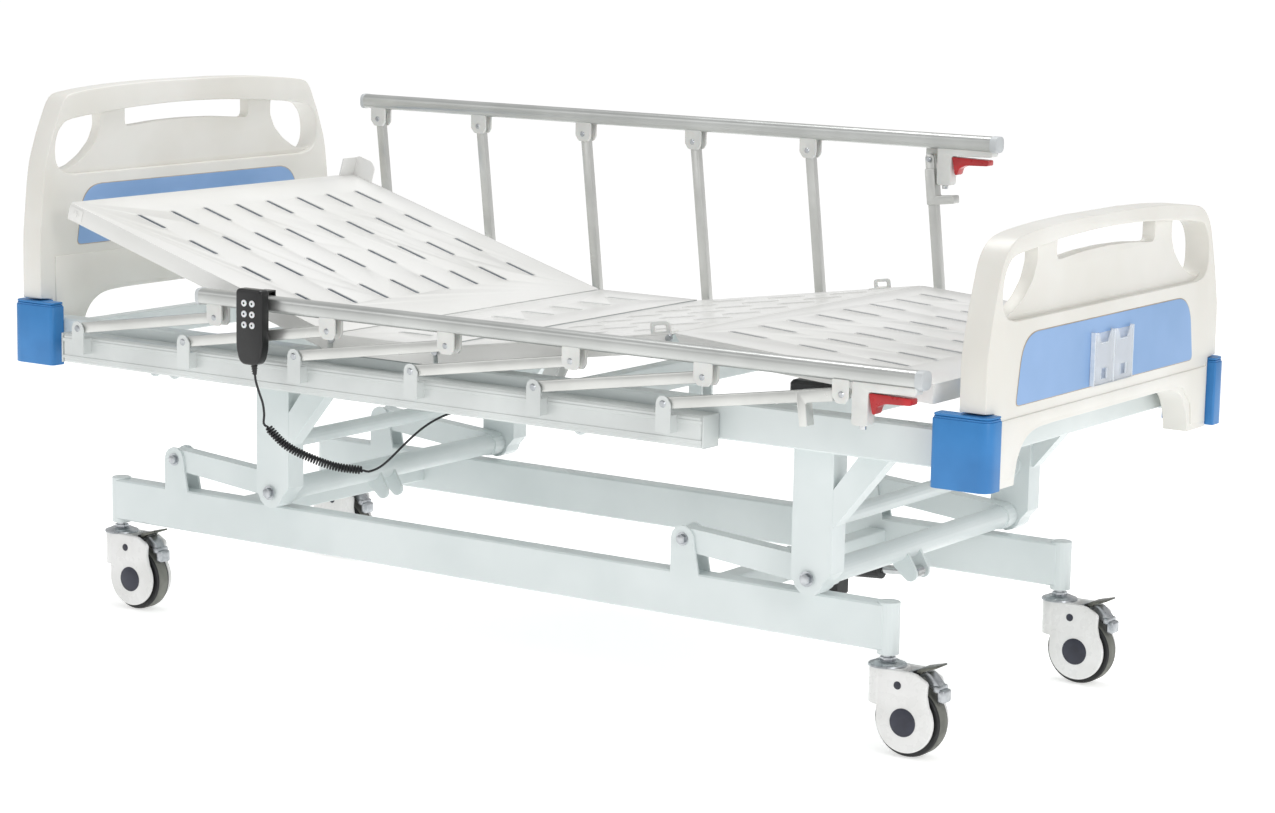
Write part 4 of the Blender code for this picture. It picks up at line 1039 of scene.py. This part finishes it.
class BED_OT_rails(bpy.types.Operator):
    """Folding side rails: bars, top rail, blocks, latch and trigger"""

    bl_idname = "bed.rails"
    bl_label = "Side rails"

    def execute(self, context):
        for side_name, side in SIDES.items():
            self.bars(side_name, side)
            self.top(side_name, side)
            self.base_details(side_name, side)
        return {"FINISHED"}

    def bars(self, side_name, side):
        for i in range(RAIL_BARS):
            pivot = Vector((RAIL_FIRST_X + i * RAIL_PITCH, side * RAIL_Y, RAIL_PIVOT_Z))
            low, high = span(side, 0.4745, 0.4885)
            left, right = pivot.x - BAR_HALF_WIDTH, pivot.x + BAR_LENGTH + BAR_HALF_WIDTH
            bottom, top = pivot.z - BAR_HALF_WIDTH, pivot.z + BAR_HALF_WIDTH
            outline = corner_curve([(left, bottom), (right, bottom), (right, top), (left, top)], 0.0095, 5)
            shapes = [sheet(outline, "XZ", low, high, 0.0022, 2)]
            if i == RAIL_BARS - 1:
                end, z = pivot.x + BAR_LENGTH, pivot.z
                catch = [(end - 0.018, z + 0.010), (end - 0.088, z + 0.010), (end - 0.088, z - 0.050)]
                catch += [(end - 0.072, z - 0.050), (end - 0.071, z - 0.011), (end - 0.018, z - 0.011)]
                low, high = span(side, 0.4702, 0.4928)
                shapes.append(sheet(corner_curve(catch, 0.003, 3), "XZ", low, high, 0.0015, 2))
            shapes = [turned(s, RAIL_ANGLE[side_name], pivot) for s in shapes]
            node = f"rail_bar_{side_name}_{i + 1}"
            piece(f"{node}_strip", "bar", f"bar_{side_name}_{i + 1}", "rail_aluminium", shapes, [node])

    def top(self, side_name, side):
        angle = RAIL_ANGLE[side_name]
        reach, lift = BAR_LENGTH * math.cos(angle), BAR_LENGTH * math.sin(angle)
        first = Vector((RAIL_FIRST_X + reach, 0, RAIL_PIVOT_Z + lift))
        last_x = first.x + (RAIL_BARS - 1) * RAIL_PITCH
        z = first.z + TOP_BAR_RISE
        body = f"rail_top_{side_name}"
        start, end = first.x - 0.040, last_x + 0.144
        y = side * RAIL_Y
        bar = sheet(self.rounded_profile(y, z, TOP_BAR_HALF, 0.0125), "YZ", start, end)
        piece(f"{body}_extrusion", "anodised", body, "rail_aluminium", [bar], [body])
        caps = []
        for x0, x1 in ((start - 0.005, start + 0.004), (end - 0.010, end + 0.005)):
            caps.append(sheet(self.rounded_profile(y, z, CAP_HALF, 0.013), "YZ", x0, x1, 0.002, 3))
        piece(f"{body}_caps", "grey", body, "pedal_plastic", caps)
        self.blocks(side_name, side, first, z, body)
        self.latch(side_name, side, Vector((last_x, 0, first.z)), z, body)

    def rounded_profile(self, y, z, half, radius):
        """A section with rounded corners, about the middle of the top bar."""
        wide, high = half
        corners = [(-wide, -high), (wide, -high), (wide, high), (-wide, high)]
        return [(y + u, z + v) for u, v in corner_curve(corners, radius, 7)]

    def blocks(self, side_name, side, first, z, body):
        """The clevis over each bar's top end, with its rivet."""
        shapes, rivets = [], []
        for i in range(RAIL_BARS):
            x = first.x + i * RAIL_PITCH
            last = i == RAIL_BARS - 1
            cheeks = ((0.4932, 0.4955),) if last else ((0.4678, 0.4740), (0.4890, 0.4936))
            right, top, low_edge = x + (0.014 if last else 0.019), z - 0.011, first.z - 0.015
            outline = [(x - 0.018, top), (x - 0.018, first.z - 0.004), (x - 0.009, low_edge)]
            outline += [(right - 0.006, low_edge), (right, first.z - 0.006), (right, top)]
            for near, far in cheeks:
                low, high = span(side, near, far)
                shapes.append(sheet(corner_curve(outline, 0.003, 3), "XZ", low, high, 0.0008, 1))
            outer, inner = side * cheeks[-1][1], side * (0.4700 if last else 0.4678)
            for face, out in ((outer, side * 0.0022), (inner, -side * 0.0022)):
                rivets.append(rod((x, face, first.z), (x, face + out, first.z), 0.0055, 20, 0.0035))
        piece(f"{body}_clamps", "nylon", body, "rail_aluminium", shapes)
        piece(f"{body}_rivets", "zinc", body, "bright_steel", rivets)

    def latch(self, side_name, side, last, z, body):
        """The housing under the top bar's foot end, its locking pin and its red trigger."""
        low, high = span(side, 0.4698, 0.4952)
        x, level, top = last.x, last.z, z - 0.012
        housing = [(x + 0.0195, top), (x + 0.0195, level - 0.048), (x + 0.049, level - 0.048)]
        housing += [(x + 0.0500, level + 0.009), (x + 0.138, level + 0.011), (x + 0.138, top)]
        outline = corner_curve(housing, [0.002, 0.006, 0.006, 0.004, 0.006, 0.003], 4)
        shell = sheet(outline, "XZ", low, high, 0.002, 2)
        piece(f"{body}_latch_housing", "nylon", body, "rail_aluminium", [shell])
        x, y = last.x + 0.034, side * RAIL_Y
        pin = rod((x, y, level - 0.0555), (x, y, level - 0.046), 0.0062, 20, bevel=0.001)
        piece(f"{body}_latch_pin", "steel", body, "bright_steel", [pin])
        x, top = last.x + 0.0505, last.z + 0.0074
        low, high = span(side, 0.4725, 0.4935)
        outline = [(x, top), (x + 0.078, top - 0.002), (x + 0.078, top - 0.013), (x + 0.030, top - 0.0145)]
        outline += [(x + 0.016, top - 0.021), (x + 0.0122, top - 0.034), (x + 0.0070, top - 0.034)]
        lever = sheet(corner_curve(outline, 0.0035, 4), "XZ", low, high, 0.003, 3)
        node = f"latch_lever_{side_name}"
        piece(f"{node}_trigger", "red", f"latch_{side_name}", "red_plastic", [lever], [node])

    def base_details(self, side_name, side):
        """Pivot pins through the lugs, ridges along the profile and its end plates."""
        pins, plates = [], []
        for i in range(RAIL_BARS):
            x = RAIL_FIRST_X + i * RAIL_PITCH
            start = Vector((x, side * 0.4926, RAIL_PIVOT_Z))
            pins.append(rod(start, start + Vector((0, side * 0.0026, 0)), 0.0065, 20, 0.0045))
            pins.append(rod((x, side * 0.4738, RAIL_PIVOT_Z), (x, side * 0.4700, RAIL_PIVOT_Z), 0.0055, 20))
        piece(f"rail_base_{side_name}_pins", "zinc", "upper", "bright_steel", pins)
        for x0, x1 in ((-0.9335, -0.9302), (0.5482, 0.5515)):
            low, high = span(side, 0.4225, 0.4705)
            plates.append(block((x0, low, 0.5055), (x1, high, 0.5625), 0.0012))
        piece(f"rail_base_{side_name}_end_plates", "profile", "upper", "rail_aluminium", plates)
        ridges = []
        for z in (0.5175, 0.5505):
            low, high = span(side, 0.4690, 0.4712)
            ridges.append(block((-0.9298, low, z - 0.0035), (0.5478, high, z + 0.0035), 0.001, 1))
        piece(f"rail_base_{side_name}_ridges", "profile", "upper", "rail_aluminium", ridges)


# ---- castors --------------------------------------------------------------------------
TRAIL = 0.049
COVER_RADIUS, COVER_CENTRE_Z, COVER_TOP = 0.0545, 0.0645, 0.1500
HUB_CAP_RADIUS, COVER_HOLE_RADIUS = 0.0245, 0.0070


class BED_OT_castors(bpy.types.Operator):
    """Swivel castors: covers, forks, wheels with dark hubs and pedals"""

    bl_idname = "bed.castors"
    bl_label = "Castors"

    def execute(self, context):
        for end, x in zip(ENDS, POSTS_X):
            for side_name, side in SIDES.items():
                self.castor(f"{end}_{side_name}", x, side * BASE_TUBE_Y, context.scene.bed_sizes)
        return {"FINISHED"}

    def castor(self, tag, x, y, sizes):
        """A castor on the post at x, y, with its wheel trailing towards the foot."""
        axle = Vector((x + TRAIL, y, sizes.wheel_radius))
        body = f"castor_{tag}"
        outline = [(x - 0.003, COVER_TOP), (x - 0.0035, 0.0700)]
        outline += arc((axle.x + 0.0015, COVER_CENTRE_Z), COVER_RADIUS, range(183, 394, 6))
        outline += [(axle.x + 0.0450, 0.1030), (axle.x + 0.0428, 0.1130), (axle.x + 0.0432, 0.1240)]
        outline += [(axle.x + 0.0440, 0.1330), (axle.x + 0.0415, 0.1375), (axle.x + 0.0220, 0.1480)]
        outline += [(axle.x + 0.0120, COVER_TOP)]
        covers = []
        for near, far in ((0.0213, 0.0305), (-0.0305, -0.0213)):
            covers.append(sheet(outline, "XZ", y + near, y + far, 0.0026, 3))
        drum = arc((x, y), 0.0308, range(90, 271, 9)) + arc((x, y), 0.0262, range(270, 89, -9))
        covers.append(sheet(drum, "XY", 0.0860, 0.1500, 0.0012, 2))
        covers.append(block((x - 0.0200, y - 0.0265, 0.1290), (x + 0.0330, y + 0.0265, 0.1498), 0.004, 3))
        piece(f"castor_covers_{tag}", "cover", body, "castor_cover", covers, [f"castor_fork_{tag}"])
        caps = []
        for out in (-1, 1):
            face = y + out * 0.0300
            middle = Vector((axle.x, face, axle.z))
            caps.append(rod(middle, middle + Vector((0, out * 0.0016, 0)), HUB_CAP_RADIUS, 48, bevel=0.0006))
            hole = Vector((axle.x - 0.0120, face, 0.1250))
            caps.append(rod(hole, hole + Vector((0, out * 0.0012, 0)), COVER_HOLE_RADIUS, 28, bevel=0.0003))
        piece(f"castor_hub_caps_{tag}", "hub", body, "castor_cover", caps)
        metal = [rod((x, y, 0.1490), (x, y, 0.1530), 0.0340, 48, 0.0325, bevel=0.0010)]
        metal.append(rod((x, y, 0.1525), (x, y, 0.1575), 0.0300, 40, 0.0210, bevel=0.0008))
        metal.append(rod((x, y, 0.1570), (x, y, 0.1640), 0.0140, 6, bevel=0.0006))
        metal.append(rod((x, y, 0.1620), (x, y, 0.1690), 0.0098, 24))
        metal.append(rod((axle.x, y - 0.0305, axle.z), (axle.x, y + 0.0305, axle.z), 0.0050, 20))
        piece(f"castor_stem_{tag}", "zinc", body, "bright_steel", metal)
        self.wheel(tag, axle, sizes)
        self.pedal(tag, axle.x, y)

    def wheel(self, tag, axle, sizes):
        """A spun tread between two dark sidewalls."""
        r = sizes.wheel_radius
        tyre = [(0.0560, 0.0120), (0.0622, 0.0120), (r, 0.0112)]
        tyre += [(u, -v) for u, v in reversed(tyre)]
        hub = [(0.0056, 0.0175), (0.0180, 0.0175), (0.0200, 0.0168), (0.0560, 0.0172)]
        hub += [(0.0600, 0.0168), (0.0616, 0.0150), (0.0620, 0.0122), (0.0580, 0.0118)]
        hub += [(u, -v) for u, v in reversed(hub)]
        tread = self.spun(tyre, axle, 64)
        piece(f"castor_tyre_{tag}", "tyre", f"wheel_{tag}", "tyre", [tread], [f"castor_wheel_{tag}"])
        piece(f"castor_hub_{tag}", "black", f"wheel_{tag}", "tyre", [self.spun(hub, axle, 48)])

    def spun(self, profile, centre, steps):
        """A closed profile of (radius, side) turned about the Y axis through centre."""
        nothing_selected()
        bpy.ops.mesh.primitive_plane_add(size=0.01, location=(0, 0, 0))
        made = bpy.context.object
        made.data.clear_geometry()
        edges = [(i, (i + 1) % len(profile)) for i in range(len(profile))]
        made.data.from_pydata([(u, v, 0.0) for u, v in profile], edges, [])
        modifier(
            made, "SCREW", axis="Y", steps=steps, render_steps=steps, use_merge_vertices=True,
            merge_threshold=0.00001, use_normal_calculate=True,
        )
        only(made)
        bpy.ops.object.mode_set(mode="EDIT")
        bpy.ops.mesh.select_all(action="SELECT")
        bpy.ops.mesh.remove_doubles(threshold=0.00001)
        bpy.ops.mesh.normals_make_consistent(inside=False)
        bpy.ops.object.mode_set(mode="OBJECT")
        return shifted(made, centre)

    def pedal(self, tag, px, y):
        """The brake pedal over the wheel: a thin tread, a link to its axle and a curved arm behind it."""
        body = f"pedal_{tag}"
        outline = [(px + 0.018, 0.1495), (px + 0.021, 0.1560), (px + 0.054, 0.1645), (px + 0.0552, 0.1615)]
        outline += [(px + 0.029, 0.1520), (px + 0.026, 0.1470)]
        tread = sheet(corner_curve(outline, 0.0012, 3), "XZ", y - 0.0190, y + 0.0190, 0.0009, 2)
        link = [(px - 0.006, 0.1340), (px - 0.006, 0.1450), (px + 0.012, 0.1520), (px + 0.026, 0.1545)]
        link += [(px + 0.034, 0.1500), (px + 0.029, 0.1430), (px + 0.008, 0.1350)]
        arm = [(px + 0.024, 0.1500), (px + 0.038, 0.1500), (px + 0.058, 0.1300), (px + 0.056, 0.1150)]
        arm += [(px + 0.046, 0.1200), (px + 0.032, 0.1380)]
        shapes = [sheet(corner_curve(link, 0.003, 3), "XZ", y - 0.0085, y + 0.0085, 0.0012, 2)]
        shapes.append(sheet(corner_curve(arm, 0.004, 4), "XZ", y - 0.0110, y + 0.0110, 0.0012, 2))
        shapes.append(block((px + 0.0530, y - 0.0140, 0.1010), (px + 0.0680, y + 0.0140, 0.1240), 0.0045, 3))
        shapes.append(block((px + 0.0470, y - 0.0165, 0.1190), (px + 0.0600, y + 0.0165, 0.1300), 0.0030, 2))
        shapes.append(rod((px, y - 0.0205, 0.139), (px, y + 0.0205, 0.139), 0.0045, 20, bevel=0.0008))
        piece(f"castor_pedal_{tag}", "pedal", body, "pedal_plastic", [tread], [f"brake_pedal_{tag}"])
        piece(f"castor_pedal_arm_{tag}", "zinc", body, "bright_steel", shapes)
        x = px + 0.014
        pin = rod((x, y - 0.0180, 0.1470), (x, y + 0.0180, 0.1470), 0.0050, 20, bevel=0.0006)
        piece(f"castor_pedal_pin_{tag}", "black", body, "pedal_plastic", [pin])


# ---- handset --------------------------------------------------------------------------
HANDSET_X, HANDSET_FRONT, HANDSET_BACK, HANDSET_LOW, HANDSET_HIGH = -0.410, -0.524, -0.500, 0.558, 0.698
KEYS = ("back_up", "back_down", "knees_up", "knees_down", "height_up", "height_down")
KEY_PITCH = (0.0095, 0.020)


class BED_OT_handset(bpy.types.Operator):
    """Hand control with its hook, strain relief and keys"""

    bl_idname = "bed.handset"
    bl_label = "Handset"

    def execute(self, context):
        cx, front, back = HANDSET_X, HANDSET_FRONT, HANDSET_BACK
        low, high = HANDSET_LOW, HANDSET_HIGH
        outline = [(cx - 0.031, high), (cx - 0.031, low + 0.030), (cx - 0.022, low), (cx + 0.022, low)]
        outline += [(cx + 0.031, low + 0.030), (cx + 0.031, high)]
        outline = corner_curve(outline, [0.010, 0.012, 0.014, 0.014, 0.012, 0.010], 6)
        shell = sheet(outline, "XZ", front, back, 0.0045, 4)
        over, under, tip = high - 0.006, high - 0.0095, 0.672
        outline = [(back - 0.004, over), (-0.4600, over), (-0.4600, tip), (-0.4632, tip)]
        outline += [(-0.4632, under), (back - 0.004, under)]
        hook = sheet(outline, "YZ", cx - 0.012, cx + 0.012, 0.0012, 2)
        y = (front + back) / 2
        relief = rod((cx + 0.0035, y, low + 0.006), (cx + 0.006, y, low - 0.0185), 0.0066, 24, 0.0034)
        shapes = [shell, hook, relief]
        for i in range(4):
            z = low - 0.002 - i * 0.0045
            shapes.append(rod((cx + 0.0045, y, z), (cx + 0.0048, y, z - 0.0015), 0.0066 - i * 0.0007, 24))
        piece("handset_shell", "handset", "rail_top_right", "handset_plastic", shapes, ["handset"])
        places = [(cx + c * KEY_PITCH[0], high - 0.026 - r * KEY_PITCH[1]) for r in range(3) for c in (-1, 1)]
        for name, (x, z) in zip(KEYS, places):
            key = rod((x, front + 0.0006, z), (x, front - 0.0016, z), 0.0062, 28, bevel=0.0007)
            piece(f"handset_key_{name}", "key", f"button_{name}", "button_plastic", [key], [f"button_{name}"])
            dot = rod((x, front - 0.0012, z), (x, front - 0.0019, z), 0.0021, 20, bevel=0.0002)
            piece(f"handset_key_dot_{name}", "black", f"button_{name}", "button_plastic", [dot])
        return {"FINISHED"}


# ---- stage ----------------------------------------------------------------------------
FLOOR_SIZE, FLOOR_Z, WORLD_STRENGTH = 240, -0.0005, 0.60
SOFTBOXES = (
    ("top_softbox", (-0.4, 0.8, 4.4), 2.6, 80),
    ("key_softbox", (-3.2, -4.2, 3.0), 2.2, 14),
    ("foot_softbox", (4.6, -2.2, 2.6), 2.0, 48),
)
LIGHT_AIM = Vector((0, 0, 0.5))
CAMERA_PLACE, CAMERA_AZIMUTH, CAMERA_ELEVATION, CAMERA_ROLL = (3.4168, -4.9010, 1.4501), 34.136, 9.334, 1.092
FOCAL_LENGTH, SENSOR_WIDTH, LENS_SHIFT = 90.02, 36.0, (0.00125, -0.00275)


class BED_OT_stage(bpy.types.Operator):
    """Pale floor, soft studio lights and the camera"""

    bl_idname = "bed.stage"
    bl_label = "Stage"

    def execute(self, context):
        self.camera(context)
        nothing_selected()
        bpy.ops.mesh.primitive_plane_add(size=FLOOR_SIZE, location=(0, 0, FLOOR_Z))
        floor = bpy.context.object
        floor.name = "studio_floor"
        floor.data.materials.append(FINISH["floor"])
        world = bpy.data.worlds.new("studio")
        context.scene.world = world
        world.use_nodes = True
        background = world.node_tree.nodes["Background"]
        background.inputs["Color"].default_value = (1.0, 1.0, 1.0, 1.0)
        background.inputs["Strength"].default_value = WORLD_STRENGTH
        context.scene.view_settings.view_transform = "Standard"
        for box in SOFTBOXES:
            self.light(*box)
        return {"FINISHED"}

    def camera(self, context):
        """A long lens from the foot end's right, level enough to see the deck and the lift at once."""
        azimuth, elevation, roll = (
            math.radians(a) for a in (CAMERA_AZIMUTH, CAMERA_ELEVATION, CAMERA_ROLL)
        )
        flat = math.cos(elevation)
        ahead = Vector((-math.sin(azimuth) * flat, math.cos(azimuth) * flat, -math.sin(elevation)))
        right = Vector((math.cos(azimuth), math.sin(azimuth), 0.0))
        up = right.cross(ahead)
        right_rolled = right * math.cos(roll) + up * math.sin(roll)
        up_rolled = up * math.cos(roll) - right * math.sin(roll)
        turn = Matrix((right_rolled, up_rolled, -ahead)).transposed().to_4x4()
        lens = bpy.data.cameras.new("camera")
        lens.lens, lens.sensor_width, lens.sensor_fit = FOCAL_LENGTH, SENSOR_WIDTH, "HORIZONTAL"
        lens.shift_x, lens.shift_y = LENS_SHIFT
        camera = bpy.data.objects.new("camera", lens)
        camera.matrix_world = Matrix.Translation(CAMERA_PLACE) @ turn
        context.scene.collection.objects.link(camera)
        context.scene.camera = camera

    def light(self, name, place, size, power):
        lamp = bpy.data.lights.new(name, "AREA")
        lamp.shape, lamp.size, lamp.energy = "DISK", size, power
        lamp.color = bpy.context.scene.bed_colours.lamp_colour
        obj = bpy.data.objects.new(name, lamp)
        aim = LIGHT_AIM - Vector(place)
        obj.matrix_world = Matrix.Translation(place) @ aim.to_track_quat("-Z", "Y").to_matrix().to_4x4()
        bpy.context.scene.collection.objects.link(obj)


class BED_PT_panel(bpy.types.Panel):
    """The bed's builders, in order"""

    bl_label = "Hospital bed"
    bl_idname = "BED_PT_panel"
    bl_space_type = "VIEW_3D"
    bl_region_type = "UI"
    bl_category = "Bed"

    def draw(self, context):
        for operator in OPERATORS:
            self.layout.operator(operator.bl_idname)


OPERATORS = (
    BED_OT_stage,
    BED_OT_cords,
    BED_OT_finishes,
    BED_OT_fixings,
    BED_OT_deck,
    BED_OT_boards,
    BED_OT_bumpers,
    BED_OT_rails,
    BED_OT_castors,
    BED_OT_handset,
)
CLASSES = (BedSizes, BedColours, *OPERATORS, BED_PT_panel)
FINISH = {}


def register():
    for cls in CLASSES:
        bpy.utils.register_class(cls)
    bpy.types.Scene.bed_sizes = PointerProperty(type=BedSizes)
    bpy.types.Scene.bed_colours = PointerProperty(type=BedColours)


def unregister():
    del bpy.types.Scene.bed_colours
    del bpy.types.Scene.bed_sizes
    for cls in reversed(CLASSES):
        bpy.utils.unregister_class(cls)


def main():
    register()
    FINISH.update(make_materials())
    bpy.ops.bed.stage()
    bpy.ops.bed.cords()
    bpy.ops.bed.finishes()
    bpy.ops.bed.fixings()
    bpy.ops.bed.deck()
    bpy.ops.bed.boards()
    bpy.ops.bed.bumpers()
    bpy.ops.bed.rails()
    bpy.ops.bed.castors()
    bpy.ops.bed.handset()


if __name__ == "__main__":
    main()
